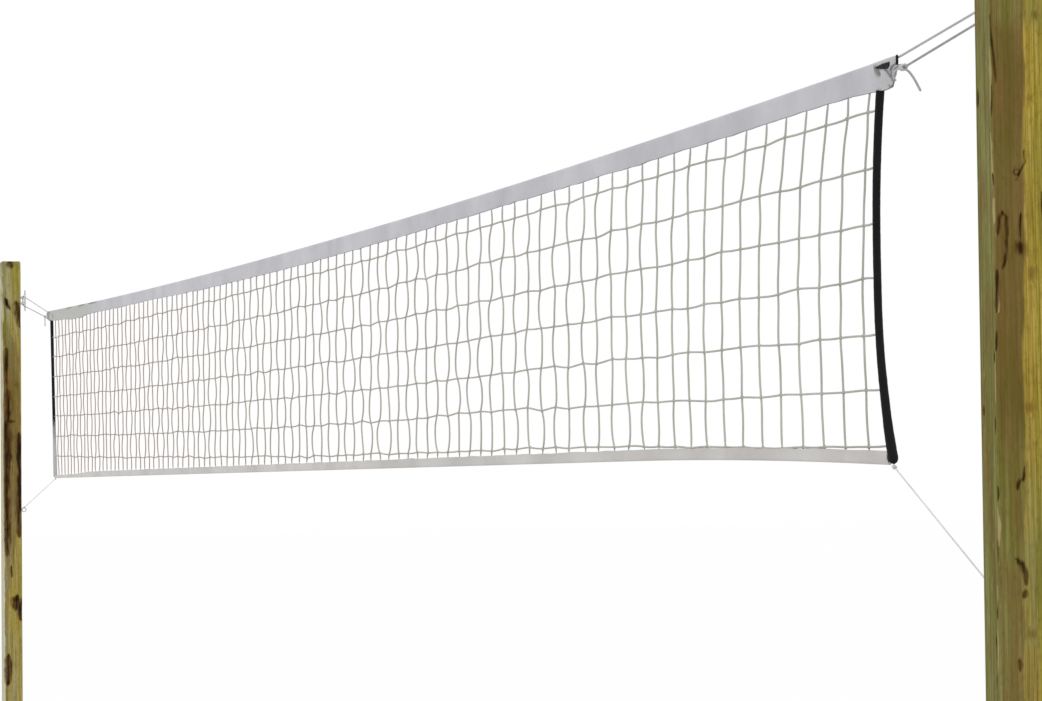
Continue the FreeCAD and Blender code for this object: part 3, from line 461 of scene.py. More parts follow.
def spline_line(spots, step):
    """Points along the NURBS spline through a cord's route, evenly spaced."""
    curve = bpy.data.curves.new("route", "CURVE")
    curve.dimensions = "3D"
    curve.resolution_u = 48
    spline = curve.splines.new("NURBS")
    spline.points.add(len(spots) - 1)
    for point, spot in zip(spline.points, spots):
        point.co = (*spot, 1.0)
    spline.order_u = 3
    spline.use_endpoint_u = True
    holder = bpy.data.objects.new("route", curve)
    mesh = bpy.data.meshes.new_from_object(holder)
    line = np.array([vertex.co for vertex in mesh.vertices], float)
    bpy.data.meshes.remove(mesh)
    bpy.data.objects.remove(holder)
    bpy.data.curves.remove(curve)
    runs = runs_along(line)
    stations = np.linspace(0.0, runs[-1], max(2, int(round(runs[-1] / step)) + 1))
    return np.stack([np.interp(stations, runs, line[:, axis]) for axis in range(3)], axis=1)


def cord_radius(rings, step, diameter, sides):
    """Radius over a cord's surface: diamonds of a braid on the rope, and three strands on a tie
    and on rope that is pulled tight in a knot."""
    along = np.arange(rings)[:, None] * step / diameter
    angle = np.arange(sides)[None, :] * 2 * np.pi / sides
    if diameter == ROPE:
        turn = 2 * np.pi * along / 3.2
        return diameter / 2 * (0.95 + 0.08 * np.cos(4 * angle + turn) * np.cos(4 * angle - turn))
    strand = np.abs(np.cos(1.5 * (angle - 2 * np.pi * along / 4.0)))
    return diameter / 2 * (0.86 + 0.17 * strand)


# Ropes and ties, by the routes of the CAD source

ROPE_STEP = 0.001
COIL_SIDES = 12
HOOKS = {
    "right": {"x": 0.59459, "upper": 2.4725, "lower": 2.4725, "out": 1},
    "left": {"x": -10.779, "upper": 2.5645, "lower": 2.5335, "out": -1},
}
LOOP_ENDS = {
    "right": ((0.0203, 2.414), (0.0407, 2.393)),
    "left": ((-9.9303, 2.447), (-9.9507, 2.420)),
}
# Round a cleat's legs: the rope's corner beyond them, the end of its straight run before
# them, its height off them, and how much higher the spline's corner is drawn
HOOK_CORNER = 0.0098
HOOK_RUN = 0.027
HOOK_HEIGHT = 0.0085
HOOK_PEAK = 0.0014
TAILS = {
    "right": [(0.0408, 2.3889), (0.053, 2.3855), (0.070, 2.3745), (0.087, 2.360), (0.104, 2.343)],
    "left": [(-10.030, 2.423), (-10.0315, 2.410), (-10.030, 2.395), (-10.028, 2.382)],
}
TIES = {
    "right": ((-0.02509, 1.68243), (0.59459, 1.3560)),
    "left": ((-9.73104, 1.62814), (-10.779, 1.4760)),
}
# A tie ends this far before its screw eye's middle, and has a route point this near each end
TIE_STOP = 0.0106
TIE_HOLD = 0.018
TIE_RING = 0.0046
# How closely the strands are worked out on the ring and on the coil of a tie's eye
RING_STEP = 0.0007
EYE_STEP = 0.0006
# Coils of knotted cord: how far past its point each starts, its radius, pitch and turns
CORNER_KNOT = (0.0075, 0.0043, 0.0044, 3.2)
HITCH = (-0.0048, 0.0046, 0.0044, 2.2)
FOOT_KNOT = (-0.0072, 0.0028, 0.0029, 2.0)
EYE_KNOT = (-0.0112, 0.0027, 0.0029, 2.0)


def cord_piece(name, body, spots, diameter, material, replaced, darkened=(0.0, 0.0)):
    """A free cord: real surface along its route. darkened is how much darker its first and its
    second half are drawn."""
    slot, sides = ("white_rope", 16) if diameter == ROPE else ("tie_cord", 12)
    line = spline_line(spots, ROPE_STEP)
    to_tip = np.minimum(np.arange(len(line)), np.arange(len(line))[::-1]) * ROPE_STEP
    radius = cord_radius(len(line), ROPE_STEP, diameter, sides)
    radius = radius * (0.55 + 0.45 * smooth_step(to_tip, -0.0005, 0.0012))[:, None]
    piece = dressed(name, tube_mesh(line, radius, sides), material, replaced, body)
    share = np.repeat(np.linspace(0.0, 1.0, len(line)), sides)
    add_values(piece, "darkened", darkened[0] + (darkened[1] - darkened[0]) * smooth_step(share, 0.47, 0.53))


def loop_route(side):
    """Out of the headband, square round the cleat's leg or legs and back to the knot."""
    hook, out = HOOKS[side], HOOKS[side]["out"]
    start, end = LOOP_ENDS[side]
    upper, lower = hook["upper"] + HOOK_HEIGHT, hook["lower"] - HOOK_HEIGHT
    near = hook["x"] - out * HOOK_RUN
    far = hook["x"] + out * HOOK_CORNER

    def on_run(spot, level):
        slope = (level - spot[1]) / (hook["x"] - spot[0])
        return level - slope * out * HOOK_RUN

    return [at(*start), at(near, on_run(start, upper)), at(far, upper + HOOK_PEAK),
            at(far, lower - HOOK_PEAK), at(near, on_run(end, lower)), at(*end)]


def tie_line(side):
    """A tie's start, end and direction, by station and height."""
    start, end = np.array(TIES[side])
    return start, end, unit(end - start)


def tie_route(side):
    """The tie pulled straight, with a point near each end."""
    start, end, along = tie_line(side)
    end = end - along * TIE_STOP
    return [at(*start), at(*(start + along * TIE_HOLD)), at(*(end - along * TIE_HOLD)), at(*end)]


def make_ropes(rope, tie):
    for side in SIDES:
        cord_piece(side + "_rope", "net", loop_route(side), ROPE, rope,
                   side + "_rope_loop", (0.15, 0.9))
        cord_piece(side + "_tail", "net", [at(*spot) for spot in TAILS[side]], ROPE, rope,
                   side + "_rope_tail", (0.9, 0.9))
        cord_piece(side + "_tie_cord", side + "_tie", tie_route(side), TIE, tie,
                   side + "_foot_tie")


def coil_path(start, axis, radius, pitch, turns, steps=28):
    """A helix about an axis from a start point."""
    axis = unit(axis)
    across = unit(np.cross(axis, (0.0, 1.0, 0.0)))
    share = np.linspace(0, 1, int(steps * turns) + 1)
    angle = 2 * np.pi * turns * share
    round_it = np.outer(np.cos(angle), across) + np.outer(np.sin(angle), np.cross(axis, across))
    return np.array(start) + np.outer(pitch * turns * share, axis) + radius * round_it


def knot_path(spot, along, knot):
    """A knot's coil about a cord that runs through a point of the net plane."""
    shift, radius, pitch, turns = knot
    start = at(*(np.array(spot) + shift * np.array(along)))
    return coil_path(start, (along[0], 0, along[1]), radius, pitch, turns)


def knot_mesh(spot, along, knot, diameter):
    path = knot_path(spot, along, knot)
    radius = cord_radius(len(path), float(np.linalg.norm(path[1] - path[0])), diameter, COIL_SIDES)
    return tube_mesh(path, radius, COIL_SIDES, unit((along[0], 0, along[1])))


def make_rope_knots(material):
    """The knots at the headband's ends, and the hitch on the left rope, where its tail hangs."""
    for side, end in (("right", HEAD_RIGHT), ("left", HEAD_LEFT)):
        spot = (end[0], LOOP_ENDS[side][1][1])
        shape = knot_mesh(spot, (HOOKS[side]["out"], 0), CORNER_KNOT, KNOT_ROPE)
        dressed(side + "_knot", shape, material, side + "_corner_knot")
    lower = np.array(LOOP_ENDS["left"][1])
    hook = HOOKS["left"]
    along = unit(np.array((hook["x"], hook["lower"] - HOOK_HEIGHT)) - lower)
    spot = lower + along * (abs(TAILS["left"][0][0] - lower[0]) / abs(along[0]))
    dressed("left_hitch", knot_mesh(spot, along, HITCH, KNOT_ROPE), material, "left_rope_hitch")


def make_tie_knots(material):
    """The knot below each side sleeve, and each tie's loop through its screw eye."""
    for side in SIDES:
        start, end, along = tie_line(side)
        axis, up = np.array((along[0], 0, along[1])), np.array((-along[1], 0, along[0]))
        dressed(side + "_foot_wrap", knot_mesh(start, along, FOOT_KNOT, TIE), material,
                side + "_foot_knot")
        angle = np.linspace(0, 2 * np.pi, 40)
        ring = np.array(at(*end)) + TIE_RING * (np.outer(np.cos(angle), axis) + np.outer(np.sin(angle), up))
        knot = knot_path(end, along, EYE_KNOT)
        shapes = [tube_mesh(ring, cord_radius(len(ring), RING_STEP, TIE, COIL_SIDES), COIL_SIDES),
                  tube_mesh(knot, cord_radius(len(knot), EYE_STEP, TIE, COIL_SIDES), COIL_SIDES, axis)]
        dressed(side + "_tie_eye", joined(shapes), material, side + "_tie_loop", side + "_tie")


# Headband and foot band

# Where a folded band's section has its points, as shares of the way from its fold to its lips
SECTION_LEVELS = (1.0, 0.985, 0.92, 0.83, 0.74, 0.65, 0.56, 0.47, 0.38, 0.29, 0.20, 0.10)
# How far the headband's lower edge sags at stations along it
BAND_SAG = ((-9.93, 0.0), (-9.75, 0.003), (-9.50, 0.008), (-9.20, 0.013), (-8.95, 0.014), (-8.80, 0.006),
            (-8.50, 0.003), (-8.20, 0.004), (-7.20, 0.001), (-6.20, 0.007), (-4.60, 0.008), (-3.35, 0.003),
            (-2.40, -0.001), (-0.43, 0.0), (-0.20, 0.002), (-0.10, 0.006), (-0.05, 0.008), (-0.01, 0.007),
            (0.02, 0.004))
# Dark marks on the headband's front: painted shadow in the folds and between the lashing's turns at
# its right end, and dark streaks at its left end and along its top fold: (reach, stations and heights
# over its cord), all in mm
HEAD_SHADE_AND_MARKS = [
    (12, [(-80, -5), (-66, -12), (-52, -18)]), (6, [(-34, -9), (-16, -21), (-5, -30)]),
    (4, [(-26, -38), (-8, -42), (4, -39)]), (7, [(12, -11), (4, -18), (-8, -27)]), (6, [(8, -27), (-8, -34)]),
    (26, [(-9890, -6), (-9884, -30)]), (20, [(-9760, -8), (-9752, -34)]), (14, [(-9920, -10), (-9918, -36)]),
    (7, [(-9350, 0), (-9180, 2)]), (8, [(-8990, 0), (-8820, 2)]), (8, [(-8700, 0), (-8480, 2)]),
]
# Heights of a band's slow waves, of the puckers under its cord, and of the headband's crumpled ends
HEAD_WAVE = 0.0022
FOOT_WAVE = 0.0016
PUCKER = 0.0006
CRUMPLE = 0.0012
# How far the headband's back is pulled in at its right end, out of the camera's sight
BACK_TUCK = 0.011
# The curl of the foot band's right end, and how much lower its rolled left end is
FOOT_CURL = 0.003
FOOT_ROLL = 0.010
# The spacing of stitches, and half a stitch's length, its half width and its height
STITCH_SPACING = 0.0085
STITCH = (0.0024, 0.00045, 0.0004)


def head_bulge(x, y, height):
    """Slow waves along the headband, puckers under its cord and a crumpled end at each side."""
    down = np.clip(height / HEAD_LIPS, 0.0, 1.0)
    to_right, to_left = HEAD_RIGHT[0] - x, x - HEAD_LEFT[0]
    wave = HEAD_WAVE * ripple(x, (0.9, 0.41, 0.23), 3) * down
    pucker = PUCKER * ripple(x, (0.045, 0.03), 4) * np.sin(np.pi * np.clip(down * 1.3, 0, 1))
    near = 1 - smooth_step(np.minimum(to_right, to_left), 0.03, 0.16)
    crumple = ripple(x + 0.35 * height, (0.021, 0.034), 5) * near
    outward = np.maximum(0.0, 0.0035 * near + 0.0030 * crumple) * np.sin(np.pi * np.clip(down + 0.15, 0, 1))
    outward *= 0.12 + 0.88 * smooth_step(to_right, 0.006, 0.024)
    outward = np.where(y < 0, -outward, 0.25 * outward)
    end_lift = (0.017 * smooth_step(x, -0.012, 0.014) + 0.006 * smooth_step(-to_left, -0.04, 0.0)) * down ** 2
    sag = -0.0012 * (1 + ripple(x, (0.6, 0.19), 6)) * down - read(BAND_SAG, x) * down ** 1.5
    tuck = -0.004 * smooth_step(x, -0.005, 0.014) * down
    tuck -= BACK_TUCK * smooth_step(x, -0.040, 0.014) * smooth_step(y, -0.001, 0.003)
    return tuck, wave + pucker + outward + CRUMPLE * crumple, sag + end_lift + CRUMPLE * crumple * down


def foot_taper(x):
    """How much lower the foot band's upper edge is near the left end, where it is rolled."""
    return FOOT_ROLL * (1 - smooth_step(x, -9.30, -8.60))


def foot_bulge(x, y, height):
    """The foot band's slow waves, its curled right end and its rolled left end."""
    up = np.clip(height / FOOT_LIPS, 0.0, 1.0)
    wave = FOOT_WAVE * ripple(x, (0.7, 0.33, 0.12), 13) * up
    curl = FOOT_CURL * (1 - smooth_step(FOOT_RIGHT[0] - x, 0.0, 0.07)) * np.sin(np.pi * up)
    lift = (0.0012 * ripple(x, (0.5, 0.21), 14) - foot_taper(x)) * up
    return np.zeros_like(x), wave + np.sign(y) * curl, lift


def head_wear_and_shade(x, y, height):
    """How old the headband's cloth is at the net's ends, and the dark marks on its front: painted
    shadow at its right end, and dark streaks.
    """
    shade_and_marks = np.zeros_like(x)
    for reach, points in HEAD_SHADE_AND_MARKS:
        np.maximum(shade_and_marks, np.where(y < 0.001, stroke(x, height, points, reach), 0.0), out=shade_and_marks)
    aged = 0.3 * smooth_step(x, -0.13, -0.04) + 0.95 * (1 - smooth_step(x, -9.00, -8.30))
    return {"aged": aged, "shade_and_marks": shade_and_marks}


# A band's steps are those between its stations, those near its ends, and how far these reach
HEADBAND = {
    "name": "head", "node": "headband", "slot": "band_cloth",
    "line": head_z, "right": HEAD_RIGHT[0], "left": HEAD_LEFT[0], "start": HEAD_RIGHT[0] - 0.006,
    "steps": (0.010, 0.003, 0.18), "fold": HEAD_FOLD, "lips": HEAD_LIPS, "bulge": head_bulge,
    "stitch_rows": (-0.008, -0.036), "stitch_margin": 0.05, "wear": head_wear_and_shade,
    "cord": ROPE, "cord_slot": "white_rope",
}
FOOT_BAND = {
    "name": "foot", "node": "foot_band", "slot": "tape_cloth",
    "line": foot_z, "right": FOOT_RIGHT[0], "left": FOOT_LEFT[0], "start": FOOT_RIGHT[0],
    "steps": (0.012, 0.004, 0.10), "fold": FOOT_FOLD, "lips": FOOT_LIPS, "bulge": foot_bulge,
    "stitch_rows": (0.0175,), "stitch_margin": 0.02, "wear": lambda x, y, height: {},
    "cord": TIE, "cord_slot": "tie_cord",
}


def bulged(band, x, y, height):
    """Points of a band's cloth with its waves and folds."""
    move_x, move_y, move_z = band["bulge"](x, y, height)
    return net_points(x + move_x, y + move_y, band["line"](x) + height + move_z)


def on_band(band, x, height, face=-1.0, proud=0.0):
    """Points on a band's front face or, with 1, its back, this far out of the cloth."""
    depth = band["fold"] + (LIP - band["fold"]) * np.clip(np.asarray(height) / band["lips"], 0.0, 1.0)
    spots = bulged(band, *np.broadcast_arrays(np.asarray(x, float), face * depth, height))
    return spots + (0.0, face * proud, 0.0)


def band_section(fold, lips):
    """A folded band's cloth round its cord, (y, height over the cord): outside from one lip
    over the fold to the other, and back inside."""
    sign = math.copysign(1.0, lips)
    front = [(-fold - (LIP - fold) * level, lips * level) for level in SECTION_LEVELS]
    arc = [(-fold * math.cos(angle), -sign * fold * math.sin(angle))
           for angle in np.radians(range(0, 181, 30))]
    outer = front + arc + [(-y, height) for y, height in front[::-1]]
    inner = []
    for y, height in outer:
        reach = math.hypot(y, min(0.0, sign * height))
        share = max(0.0, reach - CLOTH) / reach
        inner.append((y * share, height * share if sign * height < 0 else height))
    return np.array(outer + inner[::-1])


def band_stations(band):
    """Stations along a band, closer together near both ends."""
    step, fine_step, fine_reach = band["steps"]
    length = band["start"] - band["left"]
    fine = np.arange(0.0, fine_reach, fine_step)
    middle = np.arange(fine_reach, length - fine_reach, step)
    return band["start"] - np.concatenate([fine, middle, length - fine[::-1]])


def make_band(band, material):
    """A strip of cloth folded round its cord."""
    stations = band_stations(band)
    section = band_section(band["fold"], band["lips"])
    count = len(section)
    x = np.repeat(stations, count)
    y, height = (np.tile(section[:, axis], len(stations)) for axis in (0, 1))
    faces = grid_faces(len(stations), count, closed=True)
    last = (len(stations) - 1) * count
    for column in range(count // 2 - 1):
        twin = count - 1 - column
        faces.append((column + 1, column, twin, twin - 1))
        faces.append((last + column, last + column + 1, last + twin - 1, last + twin))
    shape = (bulged(band, x, y, height), faces)
    piece = dressed(band["name"] + "_tape", shape, material, band["node"])
    for name, values in band["wear"](x, y, height).items():
        add_values(piece, name, values)


def make_stitches(band, material):
    """Rows of short stitches on both faces of a band."""
    half, wide, proud = STITCH
    margin = band["stitch_margin"]
    stations = np.arange(band["right"] - margin, band["left"] + margin, -STITCH_SPACING)
    vertices, faces = [], []
    for height in band["stitch_rows"]:
        for face in (-1.0, 1.0):
            corners = ((-half, 0, 0), (0, 0, wide), (half, 0, 0), (0, 0, -wide), (0, face * proud, 0))
            for spot in on_band(band, stations, height, face):
                count = len(vertices)
                vertices += [spot + corner for corner in corners]
                for edge in range(4):
                    ends = (count + edge, count + (edge + 1) % 4)
                    faces.append((*(ends if face < 0 else ends[::-1]), count + 4))
    dressed(band["name"] + "_stitching", (vertices, faces), material, smooth=False)


def make_band_cord(band, material):
    """The rope or cord in a band's fold."""
    x = np.append(np.arange(band["right"], band["left"], -0.02), band["left"])
    name = band["name"] + "_rope"
    shape = tube_mesh(net_points(x, 0.0, band["line"](x)), band["cord"] / 2, 8)
    dressed(name + "_core", shape, material, name)


# Side sleeves and corner tabs

SLEEVE_RADII = ((1.69, 0.0094), (1.72, 0.0094), (1.78, 0.0084), (1.90, 0.0076), (2.15, 0.0074), (2.37, 0.0080))
SLEEVE_SIDES = 24
SLEEVE_CLOSING = 0.012
SLEEVE_TOPS = {"right": -0.008, "left": -0.002}
SLEEVE_SEEDS = {"right": 21, "left": 22}
ROD_RADIUS = 0.0055
# How much each sleeve has bleached, by height
BLEACHED = {"right": ((0.0, 0.0),), "left": ((1.72, 0.85), (1.80, 0.72), (1.87, 0.50), (1.93, 0.0))}
# The right tab where the headband leaves it bare: its lower and upper edge over the cord, by station
TAB_LOWER = ((-0.070, -0.0075), (-0.050, -0.0105), (-0.030, -0.0130), (-0.008, -0.0148))
TAB_UPPER = ((-0.070, -0.0062), (-0.050, -0.0045), (-0.030, -0.0042), (-0.008, -0.0050))
WEBBING = 0.0015
TAB_PROUD = 0.0010
# Half the thickness, width and height of the right tab's rolled end, and its middle from the rope's end
TAB_END = (0.0016, 0.0026, 0.0092)
TAB_END_SPOT = (-0.0015, -0.0046, -0.0055)
# The left tab's legs along the band, its distance off the fold, its height and its lower edge
LEFT_TAB_LEG = 0.100
LEFT_TAB_OFF = 0.0013
LEFT_TAB_HEIGHT = 0.0115
LEFT_TAB_LOW = -0.0142
# Turns of rope lashed through the headband's right end: stations and heights over the cord
LASHING = (((0.004, -0.0105), (-0.002, -0.0145), (-0.009, -0.0205)),
           ((0.016, -0.0165), (0.009, -0.0210), (0.001, -0.0285)),
           ((0.017, -0.0245), (0.009, -0.0300), (0.000, -0.0365)))
# How far a turn stands off the cloth at each of them, and how it goes on to the back at its ends
LASHING_PROUD = (0.0008, 0.0022, 0.0008)
LASHING_START = (0.002, 0.010, 0.001)
LASHING_STOP = (-0.003, 0.006, -0.002)
# The rope from the right corner knot into the band
KNOT_LEAD = ((0.0300, 2.3930), (0.0130, 2.3950), (-0.0200, 2.4010))


def make_sleeves(cloth, rod):
    """Each sleeve with a seam at its back and small wrinkles, closed at its foot, and its rod."""
    for side in SIDES:
        top = float(head_z(SLEEVES[side]["top"])) + HEAD_LIPS + SLEEVE_TOPS[side]
        foot = SLEEVES[side]["foot"][1]
        z = np.linspace(top, foot, 240)
        path = net_points(sleeve_x(side, z), 0.0, z)
        angle = np.arange(SLEEVE_SIDES) * 2 * np.pi / SLEEVE_SIDES
        seam = np.exp(-(np.angle(np.exp(1j * (angle - np.pi / 2))) / 0.30) ** 2)
        wrinkle = ripple((top - z)[:, None] + 0.01 * np.sin(2 * angle), (0.05, 0.021), SLEEVE_SEEDS[side])
        closing = 1 - (1 - np.minimum((z - foot) / SLEEVE_CLOSING, 1.0)) ** 2
        radius = read(SLEEVE_RADII, z) * np.sqrt(np.clip(closing, 0.02, 1.0))
        radius = radius[:, None] * (0.985 + 0.02 * wrinkle + 0.06 * seam)
        piece = dressed(side + "_sleeve", tube_mesh(path, radius, SLEEVE_SIDES), cloth,
                        side + "_side_sleeve")
        add_values(piece, "bleached", np.repeat(read(BLEACHED[side], z), SLEEVE_SIDES))
        dressed(side + "_rod_core", tube_mesh(path[6:-6], ROD_RADIUS, 12), rod, side + "_side_rod")


def webbing_strip(name, grid, thickness, material, replaced=None):
    """A strip of webbing through a grid of points."""
    shape = (grid.reshape(-1, 3), grid_faces(*grid.shape[:2]))
    piece = dressed(name, shape, material, replaced)
    solid = piece.modifiers.new("thickness", "SOLIDIFY")
    solid.thickness = thickness
    solid.offset = 0.0
    return piece


def make_tab_leg(material):
    """The stretch of the right tab's webbing that the headband leaves bare on its front."""
    stations = np.linspace(TAB_LOWER[0][0], TAB_LOWER[-1][0], 22)
    lower, upper = read(TAB_LOWER, stations), read(TAB_UPPER, stations)
    rows = [on_band(HEADBAND, stations, lower + share * (upper - lower), proud=TAB_PROUD)
            for share in np.linspace(0.0, 1.0, 5)]
    webbing_strip("right_tab_leg", np.stack(rows), WEBBING, material)


def make_tab_end(material):
    """The right tab's rolled end, upright in front of the rope, narrower at its top and foot."""
    end_x, end_z = HEAD_RIGHT
    thick, wide, tall = TAB_END
    move_x, move_y, move_z = TAB_END_SPOT
    turn = np.linspace(0, 2 * np.pi, 15)[:-1]
    share = np.linspace(-1.0, 1.0, 13)[:, None]
    narrow = np.sqrt(1 - 0.9 * share ** 6)
    rings = net_points(end_x + move_x + thick * narrow * np.cos(turn), move_y + wide * narrow * np.sin(turn),
                       end_z + move_z + tall * share)
    shape = (rings.reshape(-1, 3), tube_faces(*rings.shape[:2]))
    dressed("right_tab_end", shape, material, "right_corner_tab")


def make_tab_root(material):
    """The webbing from the right tab's end into the headband's fold."""
    end_x, end_z = HEAD_RIGHT
    x, y = np.array(((-0.030, 0.006, end_x - 0.001), (-0.0025, -0.0025, -0.0040)))
    z = end_z + np.array((-0.0125, -0.0075, -0.0025))[:, None]
    webbing_strip("right_tab_root", net_points(x, y, z), 0.0012, material)


def make_left_tab(material):
    """Webbing folded round the headband's left end, bleached like the cloth there."""
    end_x, end_z = HEAD_LEFT
    reach = HEAD_FOLD + LEFT_TAB_OFF
    legs = np.linspace(-LEFT_TAB_LEG, 0.0, 36)
    turn = np.linspace(0.25, np.pi - 0.25, 9)
    out = np.concatenate([legs, reach * np.sin(turn), legs[::-1]])
    y = np.concatenate([np.full(len(legs), -reach), -reach * np.cos(turn), np.full(len(legs), reach)])
    share = np.linspace(0.0, 1.0, 5)[:, None]
    flare = smooth_step(out, -0.012, 0.0) * (0.006 * share - 0.0005)
    grid = net_points(end_x - out - 0.0005, y, end_z + LEFT_TAB_LOW + LEFT_TAB_HEIGHT * share + flare)
    tab = webbing_strip("left_tab", grid, WEBBING, material, "left_corner_tab")
    add_values(tab, "bleached", np.full(len(tab.data.vertices), 0.7))


def short_rope(spots, reference):
    """A short length of rope's shape along its route."""
    line = spline_line(spots, ROPE_STEP)
    return tube_mesh(line, cord_radius(len(line), ROPE_STEP, ROPE, COIL_SIDES), COIL_SIDES, reference)


def make_lashing(material):
    """The lashing's turns, and the rope that runs from the corner knot into the band."""
    shapes = [short_rope([at(*spot) for spot in KNOT_LEAD], (0.0, 1.0, 0.2))]
    for turn in LASHING:
        over = [on_band(HEADBAND, *spot, proud=proud) for spot, proud in zip(turn, LASHING_PROUD)]
        route = [over[0] + LASHING_START] + over + [over[-1] + LASHING_STOP]
        shapes.append(short_rope(route, (0.3, 0.2, 1.0)))
    dressed("right_lashing", joined(shapes), material)


# Netting

MESH = 0.1016
COLUMNS = 95
FIRST_CORD = -0.147
ROWS = 7
# How far the netting reaches into the bands and sleeves, and what is left of a cord's radius there
NET_TUCK = 0.006
TUCKED = 0.55
# The top and the bottom level cord: heights at the right, heights at the left, and sags
ROW_LINES = ((2.331, 1.723), (2.318, 1.738), (0.028, 0.010))
# How far the upright cords near the right sleeve are drawn to +X, by height
DRIFT = ((1.72, 0.008), (1.82, 0.0), (1.92, -0.008), (2.02, -0.008), (2.12, 0.0), (2.21, 0.008), (2.33, 0.028),
         (2.41, 0.045))
# More of it at the top of the first cords, and along a stretch of the whole net, by column
TOP_DRIFT = ((0, 0.0), (1, 0.008), (2, 0.015), (4, 0.022), (6, 0.020), (7, 0.010), (9, 0.0))
STRETCH = ((8, 0.0), (10, 0.014), (13, 0.024), (16, 0.024), (18, 0.014), (21, 0.0))
# How far the level cords ride up between these stations, and the share of it in each row
RISE = ((-4.6, 0.0), (-3.4, 0.0055), (-2.2, 0.011), (-1.5, 0.011), (-0.5, 0.0))
RISE_SHARES = (0.0, 0.27, 0.36, 0.55, 0.73, 0.82, 1.0)
# Scatter of the knots along and up the net, and the level cords' step up and down at them
KNOT_SCATTER = (0.0045, 0.0020)
ZIGZAG = 0.0012
# Least and greatest bow of an upright and of a level cord between knots, and a bow's share
# next to the bands. With a flatness below 1, a cord turns off sharply at its knots
UPRIGHT_BOWS = (0.005, 0.022)
LEVEL_BOWS = (-0.002, 0.001)
END_BOW = 0.3
BOW_FLATNESS = 0.55
# How far a cord wanders out of the net plane
WANDER = 0.0012
# The turns of cord at a crossing: half their length, radius, pitch and count, and their cord's radius
CROSSING = (0.0024, 0.0023, 0.0024, 2)
CROSSING_CORD = 0.0013


def row_z(row, x):
    """Height of a level cord, counted from the top."""
    right, left, sag = (first + row / (ROWS - 1) * (last - first) for first, last in ROW_LINES)
    along = x / SLEEVES["left"]["top"]
    return right + along * (left - right) - 4 * sag * along * (1 - along) + RISE_SHARES[row] * read(RISE, x)


def cord_x(column, z):
    """Station of an upright cord: pulled by both side sleeves near the ends."""
    straight = FIRST_CORD - MESH * column + read(STRETCH, column)
    right = read(DRIFT, z) * np.exp(-column / 24.0)
    top = read(TOP_DRIFT, column) * smooth_step(z, 2.27, 2.345)
    left = (sleeve_x("left", z) - SLEEVES["left"]["top"]) * np.exp(-(COLUMNS - 1 - column) / 9.0)
    return straight + right + top + left


def net_knots(chance):
    """Where the cords cross: (station, height) by column and row."""
    knots = np.zeros((COLUMNS, ROWS, 2))
    for column in range(COLUMNS):
        wild = 0.25 + 0.75 * smooth_step(column, 3, 22)
        for row in range(ROWS):
            level = row_z(row, FIRST_CORD - MESH * column)
            spot = cord_x(column, level) + chance.normal(0, KNOT_SCATTER[0]) * wild
            level += chance.normal(0, KNOT_SCATTER[1]) + ZIGZAG * (-1) ** column * wild
            knots[column, row] = (spot, level)
    return knots


def bent_run(start, end, bow, steps):
    """Points from a knot to just before the next, set sideways in the net's plane."""
    along = end - start
    side = np.array((along[1], -along[0])) / np.linalg.norm(along)
    share = np.linspace(0, 1, steps + 1)[:-1, None]
    return start + share * along + bow * np.sin(np.pi * share) ** BOW_FLATNESS * side


def net_cord(runs, seed):
    """One cord of the netting, eased at its knots, wandering a little out of the plane,
    and thinner at both ends, where cloth holds it tight."""
    path = np.concatenate(runs)
    smooth = path.copy()
    smooth[1:-1] = 0.25 * path[:-2] + 0.5 * path[1:-1] + 0.25 * path[2:]
    line = net_points(smooth[:, 0], WANDER * ripple(smooth.sum(axis=1), (0.31, 0.17), seed), smooth[:, 1])
    along = runs_along(line)
    to_end = np.minimum(along, along[-1] - along)
    return tube_mesh(line, TWINE / 2 * (TUCKED + (1 - TUCKED) * smooth_step(to_end, 0.006, 0.016)), 6)


def make_netting(material):
    """Every cord of the net, with a small turn of cord at each crossing."""
    chance = np.random.default_rng(7)
    knots = net_knots(chance)
    shapes = []
    for column in range(COLUMNS):
        wild = 0.10 + 0.90 * smooth_step(column, 4, 24)
        x = FIRST_CORD - MESH * column
        top = head_z(x) + HEAD_LIPS + NET_TUCK
        low = foot_z(x) + FOOT_LIPS - foot_taper(x) - NET_TUCK
        stops = np.vstack([(cord_x(column, top), top), knots[column], (cord_x(column, low), low)])
        runs = []
        for index, (start, end) in enumerate(zip(stops, stops[1:])):
            bow = (-1) ** (column + index) * wild * chance.uniform(*UPRIGHT_BOWS)
            bow *= 1 if chance.random() > 0.12 else -0.5
            bow *= END_BOW if index in (0, ROWS) else 1
            runs.append(bent_run(start, end, bow, 8))
        shapes.append(net_cord(runs + [stops[-1:]], column))
    for row in range(ROWS):
        right_x = sleeve_x("right", row_z(row, 0.0)) - NET_TUCK
        left_x = sleeve_x("left", row_z(row, SLEEVES["left"]["top"])) + NET_TUCK
        stops = np.vstack([(right_x, row_z(row, right_x)), knots[:, row], (left_x, row_z(row, left_x))])
        runs = [bent_run(start, end, chance.uniform(*LEVEL_BOWS), 4) for start, end in zip(stops, stops[1:])]
        shapes.append(net_cord(runs + [stops[-1:]], COLUMNS + row))
    reach, radius, pitch, turns = CROSSING
    coil = coil_path((-reach, 0, 0), (1, 0, 0), radius, pitch, turns, steps=7)
    knot_vertices, knot_faces = tube_mesh(coil, CROSSING_CORD, 6, (1.0, 0.0, 0.0))
    for x, z in knots.reshape(-1, 2):
        shapes.append((knot_vertices + (NET_X + x, NET_Y, z), knot_faces))
    dressed("net_mesh", joined(shapes), material, "netting")


# Timber posts

# How far in a post's top is worn, over what height, and how deep its cracks are
TOP_WEAR = 0.0035
TOP_WEAR_HEIGHT = 0.005
CRACK_DEPTH = 0.0012
# How many knots and cracks are drawn at random on each post's hidden faces
HIDDEN_KNOTS = 9
HIDDEN_CRACKS = 7


